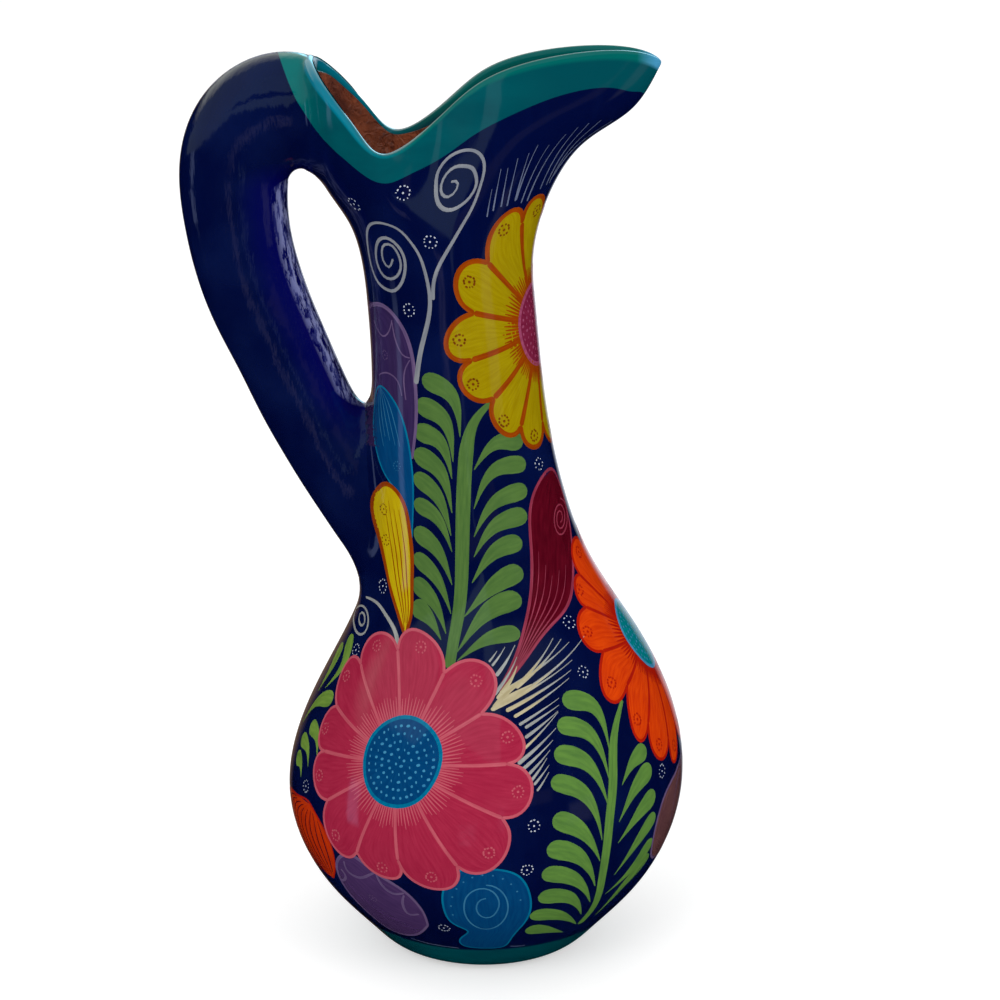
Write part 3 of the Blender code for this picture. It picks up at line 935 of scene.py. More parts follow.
# Motifs read off the photograph, in its pixels. A flower: its heart, then for each petal the
# tip and the notch before the next petal.
ROSE_HEART = (400, 762)
ROSE_HEART_RADIUS = 0.0172
ROSE_PETALS = (
    (422, 632), (444, 673), (489, 667), (481, 714), (521, 735), (507, 764), (532, 792), (502, 818),
    (500, 862), (457, 866), (437, 889), (398, 860), (389, 878), (357, 852), (332, 843), (328, 800),
    (314, 775), (325, 751), (321, 728), (337, 706), (345, 666), (361, 664), (376, 634), (398, 650),
)
YELLOW_PETALS = (
    (541, 196), (522, 223), (503, 217), (488, 263), (457, 276), (474, 313), (446, 343), (472, 360),
    (463, 389), (494, 398), (500, 430), (521, 426), (535, 447),
)
ORANGE_PETALS = (
    (573, 541), (580, 575), (575, 588), (586, 607), (580, 634), (603, 651), (606, 697), (627, 685),
    (635, 735), (648, 723), (658, 758), (668, 738), (675, 761),
)
# The two flowers that the outline cuts: petals, compass angle and place of the heart, its radius,
# the turns of the first and last hidden petal and their count, those petals' reach, outline's
# half width, and the colours of petals, outline, rim, heart and dabs
CUT_FLOWERS = (
    (YELLOW_PETALS, (-9.8, 0.7327), 0.0156, (275, 435, 7), 0.0466, 0.00095,
     ("yellow", "rust", "mauve_pale", "magenta", "mauve_pale")),
    (ORANGE_PETALS, (-4, 0.3965), 0.0150, (276, 437, 7), 0.0480, 0.0006,
     ("orange", "blood", "sky", "turquoise", "sky")),
)
# Where the notch between two hidden petals lies, as a share of their reach
NOTCH_SHARE = 0.80


def flower(brush, chart, heart, tips, notches, fill, edge, level, twice=True, edge_half=0.00075):
    """Petals round a heart, on a flat map; notches[i] lies between tips[i] and the next."""
    for i, tip in enumerate(tips):
        sides = []
        middle = (notches[i - 1] + notches[i]) / 2
        for notch in (notches[i - 1], notches[i]):
            base = notch * (0.9 * heart / np.linalg.norm(notch))
            side = [base, (base + notch) / 2, notch,
                    middle + 0.90 * (notch - middle) + 0.46 * (tip - middle),
                    middle + 0.55 * (notch - middle) + 0.85 * (tip - middle), tip]
            sides.append(chart.spots(np.array(side)))
        grid = brush.blade(fill, *sides, level, twice=twice)
        arc = np.concatenate([sides[0][2:], sides[1][-2:1:-1]])
        brush.stroke(edge, arc, (edge_half,) * 3, level + 1, twice=twice)
        brush.stroke(edge, sides[1][:3], (edge_half, edge_half * 1.2), level + 1, twice=twice)
        bold = edge != "rose_pale"
        rays = 7 if bold else 9
        for k in range(1, rays):
            column = k / rays * (grid.shape[1] - 1)
            low = int(column)
            row = grid[:, low] * (1 - column + low) + grid[:, low + 1] * (column - low)
            flat = chart.flat(row)
            out = np.linalg.norm(flat, axis=1)
            ray = heart * (1.30 + 0.10 * math.sin(k * 0.35) + 0.14 * brush.random.random())
            ends = [[np.interp(far, out, flat[:, axis]) for axis in (0, 1)]
                    for far in (heart * 0.96, ray)]
            halves = np.array([0.0003, 0.00026, 0.0001]) * (1.7 if bold else 1.1)
            brush.stroke(edge, chart.spots(np.array(ends)), halves, level + 1, 2, 0.003, twice)
        spot = chart.spots((middle + 0.50 * (tip - middle))[None])[0]
        brush.rosette("umber" if edge == "rust" else edge, spot, 0.0021, level + 2, twice,
                      0.0005 if bold else 0.00045)


def heart_disc(brush, chart, radius, rim, fill, dots, level, twice=True, rim_share=0.1):
    """A flower's heart: a pale rim round a darker disc with rows of dabs."""
    turn = np.arange(40) * TURN / 40
    wobble = 1 + 0.012 * np.sin(2 * turn + 1) + 0.008 * np.sin(5 * turn)
    for colour, size, over in ((rim, 1.0, level), (fill, 1 - rim_share, level + 1)):
        ring = np.stack([np.cos(turn) * 0.96, np.sin(turn) * 1.04], -1)
        ring = ring * wobble[:, None] * radius * size
        shares = np.linspace(0.01, 1, 10)[:, None, None]
        brush.lay(colour, chart.spots(ring * shares), over, True, twice)
    for share in (0.10, 0.27, 0.44, 0.61, 0.78):
        count = max(3, round(TURN * share * radius / 0.0026))
        for step in range(count):
            angle = (step + 0.35 * brush.random.random()) * TURN / count + 3 * share
            far = radius * share * (1 + 0.03 * brush.random.random())
            dab = np.array([math.cos(angle), math.sin(angle)]) * far
            along = np.array([0.0006, 0.0002]) * brush.random.uniform(0.3, 1.3)
            ends = chart.spots(np.array([dab - along, dab + along]))
            brush.stroke(dots, ends, (0.0005, 0.0005), level + 2, 2, twice=twice)


def paint_flowers(brush):
    chart = Chart(brush.canvas, brush.spots([ROSE_HEART])[0])
    marks = chart.flat(brush.spots(ROSE_PETALS))
    flower(brush, chart, ROSE_HEART_RADIUS, marks[::2], marks[1::2], "rose", "rose_pale", 4,
           edge_half=0.00058)
    heart_disc(brush, chart, ROSE_HEART_RADIUS, "lake", "blue", "sky", 6, rim_share=0.085)
    for pixels, (angle, place), heart, hidden, far, edge_half, colours in CUT_FLOWERS:
        chart = Chart(brush.canvas, np.array([math.radians(angle), place]))
        marks = chart.flat(brush.spots(pixels))
        tips, notches = list(marks[::2]), list(marks[1::2])
        # the petals round the silhouette's far side, as on the near one
        first, last, count = hidden
        half = math.radians((last - first) / (count - 1) / 2)
        for turn in np.linspace(*hidden):
            way = np.array([math.cos(math.radians(turn)), math.sin(math.radians(turn))])
            before = np.array([way[0] * math.cos(half) + way[1] * math.sin(half),
                               way[1] * math.cos(half) - way[0] * math.sin(half)])
            notches.append(before * far * NOTCH_SHARE)
            tips.append(way * far)
        after = (tips[-1] + tips[0]) / 2
        notches.append(after * (NOTCH_SHARE * far / np.linalg.norm(after)))
        flower(brush, chart, heart, tips, notches, *colours[:2], 2, False, edge_half)
        heart_disc(brush, chart, heart, *colours[2:], 4, False)


# A fern: its stem from the top, and its leaves, each by head, bend and foot
MIDDLE_STEM = (
    (490, 403), (476, 419), (468, 441), (465, 467), (463, 512), (462, 560), (459, 610), (453, 644),
    (449, 669),
)
MIDDLE_LEAVES = (
    (422, 378), (448, 392), (460, 437), (416, 403), (440, 416), (453, 462),
    (414, 430), (436, 439), (452, 479), (414, 452), (435, 466), (452, 513),
    (414, 475), (433, 491), (451, 536), (414, 502), (433, 514), (452, 552),
    (414, 530), (431, 543), (452, 585), (414, 555), (431, 571), (451, 614),
    (413, 580), (430, 597), (446, 634), (413, 603), (428, 617), (441, 640),
    (523, 442), (497, 443), (474, 470), (526, 464), (497, 469), (474, 509),
    (527, 489), (497, 501), (474, 537), (527, 514), (497, 525), (474, 557),
    (522, 541), (501, 548), (472, 583), (522, 569), (498, 583), (464, 617),
    (521, 597), (495, 607), (457, 652), (520, 632), (491, 638), (457, 661),
)
RIGHT_STEM = (
    (622, 700), (617, 720), (613, 749), (613, 779), (610, 815), (607, 845), (602, 878), (592, 909),
    (579, 924),
)
RIGHT_LEAVES = (
    (562, 700), (590, 704), (609, 749), (557, 725), (584, 730), (609, 779),
    (554, 753), (582, 760), (608, 805), (551, 781), (579, 790), (602, 840),
    (553, 818), (577, 828), (600, 861), (547, 848), (574, 854), (595, 886),
    (542, 873), (569, 877), (590, 902), (538, 897), (566, 897), (581, 914),
    (530, 915), (554, 915), (576, 924), (526, 929), (546, 930), (563, 932),
    (646, 748), (633, 762), (622, 785), (651, 766), (636, 787), (619, 822),
    (655, 792), (640, 812), (618, 843), (655, 813), (641, 836), (614, 875),
    (652, 838), (640, 858), (605, 894), (649, 854), (625, 883), (595, 915),
)
EDGE_LEAVES = (
    (351, 634), (345, 660), (325, 688), (343, 642), (333, 664), (318, 691),
    (333, 699), (318, 701), (303, 722), (311, 724), (317, 738), (317, 756),
    (302, 737), (308, 752), (308, 767), (297, 755), (301, 766), (301, 777),
)


# The ferns' colours, with the half widths of stem and leaf, and how each swells along its length
FERNS = (("leaf", MIDDLE_STEM, 0.0027, MIDDLE_LEAVES, 0.0035),
         ("fern", RIGHT_STEM, 0.0021, RIGHT_LEAVES, 0.0036),
         ("lime", None, 0, EDGE_LEAVES, 0.0034))
STEM_SWELL = np.array([0.35, 1.0, 1.0, 0.95, 0.85, 0.75])
LEAF_SWELL = np.array([0.92, 1.05, 0.83, 0.51, 0.24, 0.04])


def paint_ferns(brush):
    for green, stem, thick, leaves, width in FERNS:
        if stem:
            brush.stroke(green, brush.spots(stem), STEM_SWELL * thick, 1, 4)
        for i in range(0, len(leaves), 3):
            size = width * (1 + 0.06 * brush.random.standard_normal())
            brush.stroke(green, brush.spots(leaves[i:i + 3]), LEAF_SWELL * size, 0, 5)


# A leaf: its near edge and its far edge, from the top or the left end to the tail
YELLOW_LEAF = (((387, 484), (376, 492), (373, 507), (380, 540), (388, 577), (396, 607), (405, 636)),
               ((387, 484), (400, 496), (409, 527), (412, 555), (412, 588), (411, 616), (405, 636)))
BLUE_LEAF = (((380, 386), (374, 413), (376, 447), (383, 470), (392, 485), (405, 508), (412, 538)),
             ((380, 386), (394, 401), (404, 424), (410, 453), (413, 481), (413, 510), (412, 538)))
MAROON_LEAF = (
    ((552, 469), (536, 488), (530, 512), (531, 545), (531, 590), (525, 625), (514, 660),
     (496, 693)),
    ((552, 469), (564, 498), (571, 535), (573, 575), (568, 604), (547, 630), (522, 664),
     (496, 693)),
)
PLUM_ARCH = ((376, 304), (391, 312), (403, 329), (411, 351), (415, 380), (416, 423), (412, 459))
PLUM_FAN = (((337, 862), (351, 855), (373, 871), (405, 892), (423, 912), (428, 925)),
            ((337, 872), (352, 896), (371, 915), (390, 929), (410, 935), (428, 925)))
# Of two leaves only the near edge shows; the first one's far edge bulges by an angle
EMBER_EDGE = ((311, 805), (324, 829), (331, 845), (335, 863), (334, 878))
EMBER_BULGE = 0.50
SIDE_LEAF_EDGE = ((676, 771), (664, 797), (656, 825), (651, 853))
SNAIL = (
    ((486, 869), (457, 872), (443, 892), (445, 912), (456, 925), (468, 931), (461, 938), (463, 945),
     (484, 948)),
    ((486, 869), (517, 875), (530, 896), (530, 911), (524, 923), (516, 932), (510, 940), (504, 946),
     (484, 948)),
)
# The snail's spiral: its centre, and its reach in pixels at some turns; then the arc of dabs
SNAIL_MIDDLE = (486, 907)
SNAIL_REACH = ((0, 5.2, 8.2, 12.6), (22, 22, 11.5, 8.5))
DAB_MIDDLE, DAB_REACH = (486, 905), (35, 30)
# The maroon leaf's spiral: its centre, its reach at the start and what each radian takes off it
CURL_MIDDLE, CURL_REACH, CURL_SHRINK = (560, 518), 11, 0.55
PLUM_SCALLOPS = (((374, 320), (378, 330), (383, 336), (388, 333), (392, 320)),
                 ((392, 322), (394, 334), (398, 347), (404, 356), (410, 358)),
                 ((410, 360), (405, 370), (404, 382), (406, 400)),
                 ((379, 375), (388, 373), (397, 380), (402, 396)))
FAN_SCALLOPS = (((341, 869), (345, 874), (344, 880), (341, 880)),
                ((344, 861), (347, 870), (357, 877), (369, 875), (376, 872)),
                ((376, 873), (382, 885), (392, 893), (404, 893)),
                ((404, 895), (403, 905), (409, 914), (419, 914)))


def turned(middle, wide, high, turn):
    """Pixels round a middle, clockwise from its top."""
    return np.stack([middle[0] + wide * np.sin(turn), middle[1] - high * np.cos(turn)], -1)


def paint_leaves(brush):
    def bordered(fill, edge, sides, level, half, twice=True):
        """A leaf with its outline, from two rows of spots or of pixels; returns its grid."""
        if isinstance(sides[0], tuple):
            sides = [brush.spots(line) for line in sides]
        grid = brush.blade(fill, *sides, level, twice=twice)
        rim = np.concatenate([sides[0][::-1], sides[1][1:]])
        brush.stroke(edge, rim, (half * 0.7, half, half, half, half * 0.7), level + 1, twice=twice)
        return grid

    arch = brush.spots(PLUM_ARCH)
    back = np.array([[-math.pi, arch[0, 1] - 0.001]])
    side = np.stack([np.full(len(arch), -math.pi), arch[:, 1]], -1)
    sides = np.concatenate([back, side]), np.concatenate([back, arch])
    bordered("plum", "lilac", sides, 0, 0.0008)
    brush.lines("lilac", PLUM_SCALLOPS, (0.0002, 0.0003, 0.0003, 0.0002), 2, 2)
    grid = bordered("blue", "lake", BLUE_LEAF, 1, 0.0004)
    brush.veins("sky_dim", grid, (0.30, 0.42, 0.54, 0.66, 0.78), 0.05, 0.42, 0.0002, 3)
    grid = bordered("ochre", "rust", YELLOW_LEAF, 2, 0.0009)
    brush.veins("rust", grid, (0.35, 0.5, 0.65, 0.8), 0.2, 0.95, 0.00024, 4)
    for spot in brush.spots(((384, 509), (386, 540))):
        brush.rosette("umber", spot, 0.0020, 4, grain=0.00036)
    grid = bordered("maroon", "berry", MAROON_LEAF, 0, 0.0006)
    brush.veins("berry", grid, (0.16, 0.32, 0.48, 0.64, 0.80), 0.45, 0.97, 0.00022, 2)
    bordered("grape", "lilac", PLUM_FAN, 0, 0.0007)
    brush.lines("lilac", FAN_SCALLOPS, (0.0004, 0.0006, 0.0006, 0.0004), 2, 2)
    turn = np.linspace(0, math.pi, 11)
    edge = brush.curve(brush.spots(EMBER_EDGE), (1 - np.cos(turn)) / 2)
    down = (edge[0, 1] - edge[:, 1]) / (edge[0, 1] - edge[-1, 1])
    far = edge[0] + down[:, None] * (edge[-1] - edge[0])
    far[:, 0] -= EMBER_BULGE * np.sin(turn)
    grid = bordered("ember", "blood", (far, edge), 0, 0.0004)
    brush.veins("maroon", grid, np.linspace(0.14, 0.90, 9), 0.20, 0.88, 0.0004, 2)
    near = brush.spots(SIDE_LEAF_EDGE)
    near = np.concatenate([[[0.0, near[0, 1] + 0.010]], near, [[0.0, near[-1, 1] - 0.012]]])
    grid = bordered("mauve", "lilac", (near, near * [-1, 1]), 0, 0.0006, False)
    brush.veins("lilac", grid, (0.2, 0.35, 0.5, 0.65, 0.8), 0.15, 0.6, 0.0002, 2, False)
    bordered("blue", "lake", SNAIL, 1, 0.0004)
    turn = np.linspace(0, 4 * math.pi, 48)
    reach = np.interp(turn, *SNAIL_REACH)
    brush.lines("sky_dim", [turned(SNAIL_MIDDLE, reach, reach, turn)], (0.0003,) * 3, 3, 2)
    for spot in brush.spots(turned(DAB_MIDDLE, *DAB_REACH, np.linspace(-1.9, 1.4, 12))):
        brush.dot("sky_dim", spot, 0.0004, 3)
    turn = np.linspace(0, 5 * math.pi, 44)
    reach = CURL_REACH - CURL_SHRINK * turn
    curl = turned(CURL_MIDDLE, 0.70 * reach, reach * 1.8, turn)
    brush.lines("berry", [curl], (0.0003,) * 3, 3, 2)
    for colour, pixel in (("lilac", (385, 355)), ("lilac", (373, 898)), ("sky_dim", (397, 466))):
        brush.rosette(colour, brush.spots([pixel])[0], 0.0017, 3, grain=0.00026)


# Scrolls of pale paint, from foot to curl
TALL_SCROLL = (
    (433, 300), (434, 281), (441, 262), (452, 243), (463, 224), (473, 206), (480, 187), (484, 172),
    (483, 159), (477, 152), (467, 150), (456, 153), (445, 161), (438, 172), (436, 186), (437, 200),
    (442, 208), (451, 210), (460, 206), (470, 197), (476, 186), (476, 176), (472, 168), (463, 166),
    (453, 168), (445, 176), (441, 186), (442, 194), (448, 197), (454, 193), (458, 185), (455, 181),
    (451, 182),
)
LOW_SCROLL = (
    (416, 384), (421, 350), (428, 321), (430, 300), (426, 276), (419, 255), (409, 240), (396, 228),
    (381, 223), (371, 224), (367, 233), (368, 247), (372, 268), (378, 282), (386, 289), (393, 291),
    (401, 284), (405, 271), (404, 257), (397, 245), (387, 238), (379, 240), (376, 250), (377, 262),
    (383, 275), (391, 279), (398, 275), (401, 265), (398, 254), (391, 245), (384, 245), (382, 254),
    (384, 262), (388, 267), (393, 259),
)
SHORT_SCROLL = ((398, 646), (396, 634), (386, 615), (380, 606), (373, 600), (366, 597))
# Their colours and their half widths along the way
SCROLLS = (
    ("pearl", TALL_SCROLL, (0.0007, 0.0006, 0.0006, 0.0005, 0.0008, 0.0006, 0.0006, 0.0004)),
    ("pearl", LOW_SCROLL, (0.0010, 0.0008, 0.0005, 0.0005, 0.0006, 0.0006, 0.0005, 0.0004)),
    ("cream", SHORT_SCROLL, (0.0010, 0.0008, 0.0006, 0.0004)),
)
# A curl of two rings: centre, half width and half height of each
RINGS = (((361, 620), (7.4, 14.5)), ((362, 619), (3.0, 6.6)))

# Strokes of a spray, each from its thick start to its tip
NECK_SPRAY = (
    (487, 217), (492, 189), (493, 211), (501, 169), (501, 207), (508, 168), (507, 206), (518, 158),
    (515, 201), (529, 153), (516, 200), (538, 145), (521, 203), (549, 145), (527, 201), (566, 134),
    (540, 189), (578, 127), (546, 185), (589, 123), (549, 183), (601, 120), (553, 176), (613, 120),
)
BELLY_SPRAY = (
    (489, 662), (497, 651), (492, 666), (505, 647), (496, 676), (515, 645), (494, 695), (517, 657),
    (518, 685), (553, 638), (516, 688), (561, 639), (500, 693), (569, 642), (491, 710), (584, 636),
    (492, 710), (572, 660), (506, 711), (571, 670), (514, 717), (569, 678), (519, 725), (559, 698),
    (525, 728), (559, 705), (525, 738), (558, 711), (516, 756), (558, 712), (518, 764), (556, 728),
    (522, 770), (553, 740), (527, 776), (550, 750), (531, 781), (547, 758), (534, 785), (549, 765),
    (537, 791), (549, 772),
)
SPRAY_ROOT = (((493, 708), (501, 699), (511, 690), (524, 680)),
              ((497, 699), (504, 690), (512, 678), (517, 666)),
              ((499, 703), (509, 697), (521, 690), (532, 684)))
FOOT_LINES = (((411, 938), (428, 943), (444, 946), (459, 948)),
              ((510, 946), (518, 946), (525, 945)))
WHITE_ROSETTES = (
    (403, 193), (354, 204), (430, 242), (409, 310), (539, 464), (367, 540), (383, 586), (356, 650),
    (569, 622), (583, 672), (662, 771), (534, 826), (527, 870), (444, 928), (306, 786),
)


def paint_lines(brush):
    for colour, line, halves in SCROLLS:
        brush.lines(colour, [line], halves, 2)
    turn = np.linspace(0, TURN, 16)
    rings = [turned(middle, *size, turn) for middle, size in RINGS]
    brush.lines("cream", rings, (0.0004, 0.0005, 0.0004), 2)
    for spray, colour, thick in ((NECK_SPRAY, "mist", 0.0003), (BELLY_SPRAY, "cream", 0.0007)):
        for i in range(0, len(spray), 2):
            knots = brush.spots(spray[i:i + 2])
            span = brush.reach(knots)[-1]
            bow = np.array([[0.04 * span, 0.03 * span]]) / brush.canvas.measure(knots[:1])
            bow *= spray is BELLY_SPRAY
            knots = np.concatenate([knots[:1], knots.mean(axis=0)[None] + bow, knots[1:]])
            size = thick * min(1, span / 0.022 + 0.3) * brush.random.uniform(0.8, 1.15)
            halves = (size, size * 0.9, size * 0.6, size * 0.3, 0.0001)
            brush.stroke(colour, knots, halves, 3, 2, 0.003)
            if spray is BELLY_SPRAY and span > 0.02:
                brush.stroke("straw", knots[:2], (size * 1.02, size * 0.7, 0.0001), 3.5, 2, 0.003)
    brush.lines("straw", SPRAY_ROOT, (0.0006, 0.0009, 0.0005, 0.0001), 3.5)
    brush.lines("mist", FOOT_LINES, (0.0002, 0.0003, 0.0002), 2, 2)
    for spot in brush.spots(WHITE_ROSETTES):
        brush.rosette("white", spot, 0.0021 + 0.0004 * brush.random.random(), 1)


# Each paint's tone, and its tone where the coat is deep, in steps of 0 to 255
PAINTS = {
    "rose": ((163, 40, 68), (150, 28, 58)), "rose_pale": ((188, 86, 100), (172, 70, 86)),
    "yellow": ((152, 134, 6), (140, 118, 0)), "rust": ((146, 62, 4), (126, 48, 2)),
    "orange": ((210, 66, 8), (190, 46, 6)), "blood": ((172, 28, 8), (150, 18, 8)),
    "leaf": ((80, 112, 54), (66, 98, 48)), "fern": ((92, 132, 58), (74, 112, 52)),
    "lime": ((116, 150, 62), (94, 128, 52)), "plum": ((54, 38, 80), (44, 30, 70)),
    "lilac": ((104, 84, 120), (84, 66, 104)), "mauve": ((100, 64, 64), (80, 48, 54)),
    "blue": ((4, 66, 114), (0, 56, 104)), "lake": ((0, 112, 146), (0, 94, 132)),
    "umber": ((118, 58, 6), (98, 42, 6)), "sky": ((66, 142, 178), (44, 118, 162)),
    "sky_dim": ((52, 116, 152), (36, 98, 140)), "straw": ((184, 174, 142), (160, 148, 112)),
    "turquoise": ((0, 124, 130), (0, 108, 118)), "magenta": ((122, 34, 64), (106, 22, 52)),
    "mauve_pale": ((156, 72, 104), (134, 54, 86)), "maroon": ((88, 8, 26), (70, 2, 18)),
    "berry": ((146, 56, 78), (120, 36, 56)), "cream": ((158, 160, 156), (130, 132, 132)),
    "pearl": ((132, 135, 140), (110, 114, 124)), "ochre": ((190, 167, 12), (177, 148, 8)),
    "ember": ((190, 54, 8), (164, 36, 8)), "grape": ((74, 50, 94), (61, 40, 83)),
    "mist": ((100, 108, 130), (76, 86, 112)), "white": ((196, 200, 208), (160, 168, 186)),
}


class Recipe:
    """Shorthand for the nodes of a procedural material or world."""

    def __init__(self, owner):
        owner.use_nodes = True
        self.owner = owner
        self.tree = owner.node_tree
        self.shader = self.tree.nodes.get("Principled BSDF") or self.tree.nodes["Background"]

    def node(self, kind, inputs=None, **settings):
        made = self.tree.nodes.new(kind)
        for key, value in settings.items():
            setattr(made, key, value)
        for key, value in (inputs or {}).items():
            if isinstance(value, bpy.types.NodeSocket):
                self.tree.links.new(value, made.inputs[key])
            else:
                made.inputs[key].default_value = value
        return made

    def noise(self, scale, detail=2.0, stretch=(1, 1, 1), roughness=0.5, distortion=0.0):
        mapped = self.node("ShaderNodeMapping", {0: self.place(), "Scale": stretch}).outputs[0]
        return self.node("ShaderNodeTexNoise", {
            "Vector": mapped, "Scale": scale, "Detail": detail, "Roughness": roughness,
            "Distortion": distortion}).outputs[0]

    def spread(self, value, low, high, start=0.0, end=1.0):
        return self.node("ShaderNodeMapRange", {"Value": value, "From Min": low, "From Max": high,
                                                "To Min": start, "To Max": end}).outputs[0]

    def blend(self, share, first, second, mode="MIX"):
        made = self.node("ShaderNodeMix", data_type="RGBA", blend_type=mode)
        for i, value in ((0, share), (6, first), (7, second)):
            socket = made.inputs[i]
            if isinstance(value, bpy.types.NodeSocket):
                self.tree.links.new(value, socket)
            elif isinstance(value, tuple):
                socket.default_value = (*linear(value), 1)
            else:
                socket.default_value = value
        return made.outputs[2]

    def fade(self, value, low, high, first, second, start=0.0, end=1.0):
        """From the first colour at the low value to the second at the high one."""
        return self.blend(self.spread(value, low, high, start, end), first, second)

    def value(self, name):
        return self.node("ShaderNodeAttribute", attribute_name=name).outputs["Fac"]

    def place(self, kind="Object"):
        return self.node("ShaderNodeTexCoord").outputs[kind]

    def math(self, operation, first, second=0.0):
        return self.node("ShaderNodeMath", {0: first, 1: second}, operation=operation).outputs[0]

    def times(self, first, second):
        return self.math("MULTIPLY", first, second)

    def plus(self, first, second):
        return self.math("ADD", first, second)

    def ground(self, scale, low, streaks):
        """Cobalt, worn in clouds and along the brush's streaks."""
        ground = self.fade(self.noise(scale, 3), low, 0.80, COBALT, COBALT_WORN)
        return self.fade(streaks, 0.5, 0.8, ground, COBALT_WORN, 0.0, 0.35)

    def in_band(self):
        return self.spread(self.value("teal"), -BAND_SOFT, BAND_SOFT)

    def band(self):
        """Turquoise, thinner in places, lighter on the lobe over the handle; along the lip lighter
        and bluer, partly paint and partly a painted highlight, and pale blue at the spout's tip, a
        painted highlight.
        """
        x = self.node("ShaderNodeSeparateXYZ", {0: self.place()}).outputs[0]
        teal = self.fade(self.noise(45, 4, (1, 1, 2.5)), 0.35, 0.7, TEAL, TEAL_THIN)
        teal = self.fade(x, *LOBE_FADE, teal, TEAL_LOBE)
        teal = self.fade(x, *SPOUT_FADE, teal, TEAL_SPOUT)
        lip = self.fade(x, *LIP_BACK_FADE, TEAL_RIM_AND_SHEEN, TEAL_LIP_AND_SHEEN)
        lip = self.fade(x, *TIP_GLINT_FADE, lip, TEAL_TIP_GLINT)
        return self.fade(self.value("lip"), 0.15, 0.8, teal, lip)

    def least(self, *values):
        """What several masks leave clear."""
        first, *others = values
        for other in others:
            first = self.math("MINIMUM", first, other)
        return first

    def feed(self, **values):
        """Values of the shader's sockets, whose names have _ for a space."""
        for key, value in values.items():
            socket = self.shader.inputs[key.replace("_", " ")]
            if isinstance(value, bpy.types.NodeSocket):
                self.tree.links.new(value, socket)
            else:
                socket.default_value = value

    def bump(self, height, distance):
        made = self.node("ShaderNodeBump",
                         {"Height": height, "Distance": distance, "Strength": 1.0})
        self.tree.links.new(made.outputs[0], self.shader.inputs["Normal"])


COBALT, COBALT_WORN = (1, 8, 50), (6, 20, 66)
# A brighter blue and two pale tones for the handle's inner side: a painted sheen and painted
# highlights of the gloss
SHEEN_BLUE, PAINTED_SHEEN, PAINTED_GLINT = (2, 4, 78), (70, 76, 142), (150, 156, 206)
TEAL, TEAL_THIN = (0, 78, 86), (1, 66, 76)
TEAL_LOBE = (0, 102, 100)
# The lip's tones are partly the band's own lighter paint and partly a painted highlight; the tip's
# pale blue is a painted highlight
TEAL_RIM_AND_SHEEN, TEAL_LIP_AND_SHEEN = (0, 92, 88), (0, 112, 134)
TEAL_SPOUT, TEAL_TIP_GLINT = (0, 68, 77), (66, 140, 178)
CLAY, CLAY_DARK = (156, 84, 56), (84, 42, 34)
BLACK, WHITE = (0, 0, 0), (255, 255, 255)
# How soft a band's edge is, and how far along the jug its tones change
BAND_SOFT = 0.00012
LOBE_FADE, SPOUT_FADE = (-0.056, -0.068), (0.0, 0.03)
# Where the lip turns bluer towards the lobe, and where the spout's tip takes its painted highlight
LIP_BACK_FADE, TIP_GLINT_FADE = (-0.022, -0.050), (0.057, 0.064)
# How deep the swells of the varnish are, on the wall and on the handle
SWELL_DEPTH, HANDLE_SWELL_DEPTH = 0.0004, 0.0005
VARNISH_IOR = 1.5


def linear(tone):
    """The scene's linear colour for an sRGB tone in steps of 0 to 255."""
    share = np.array(tone) / 255
    light = np.where(share <= 0.04045, share / 12.92, ((share + 0.055) / 1.055) ** 2.4)
    return tuple(float(x) for x in light)


def varnish(made, colour, ripple, dull=0.0):
    """The clear coat over a colour: its gloss, and slow swells that run from piece to piece."""
    smooth = made.spread(made.noise(70, 3), 0.3, 0.7, 0.05, 0.11)
    made.feed(Base_Color=colour, Roughness=made.plus(smooth, dull), IOR=VARNISH_IOR)
    made.bump(made.plus(made.times(made.noise(34, 2), 0.55), ripple), SWELL_DEPTH)
    return made.owner


def skin_material():
    """Cobalt ground with turquoise bands outside, varnished terracotta inside."""
    made = Recipe(bpy.data.materials.new("painted_clay"))
    streaks = made.noise(120, 3, (1, 1, 0.16), 0.6)
    grit, pits = made.noise(420, 4), made.noise(240, 2, distortion=1.5)
    bare = made.fade(made.noise(60, 5), 0.35, 0.65, CLAY, CLAY_DARK)
    bare = made.fade(grit, 0.55, 0.72, bare, CLAY_DARK, 0.0, 0.8)
    clay, in_band = made.value("clay"), made.in_band()
    colour = made.blend(clay, made.ground(28, 0.50, streaks), bare)
    uncovered = made.times(clay, made.math("SUBTRACT", 1.0, in_band))
    rough = made.times(made.plus(made.times(grit, 0.9), made.times(pits, 4.0)), uncovered)
    ripple = made.plus(made.times(streaks, 0.10), rough)
    return varnish(made, made.blend(in_band, colour, made.band()), ripple,
                   made.times(uncovered, 0.05))


def paint_material(name, tone, deep):
    """A brushed colour: streaks along each stroke, cloudy where the coat is thin."""
    made = Recipe(bpy.data.materials.new("brushed_" + name))
    along, across = made.times(made.value("run"), 110.0), made.times(made.value("side"), 1300.0)
    where = made.node("ShaderNodeCombineXYZ", {0: along, 1: across}).outputs[0]
    streaks = made.node("ShaderNodeTexNoise",
                        {"Vector": where, "Scale": 1.0, "Detail": 3.0}).outputs[0]
    colour = made.fade(streaks, 0.35, 0.70, tone, deep)
    colour = made.fade(made.noise(140, 3), 0.45, 0.75, colour, deep, 0.0, 0.5)
    return varnish(made, colour, made.times(streaks, 0.04))


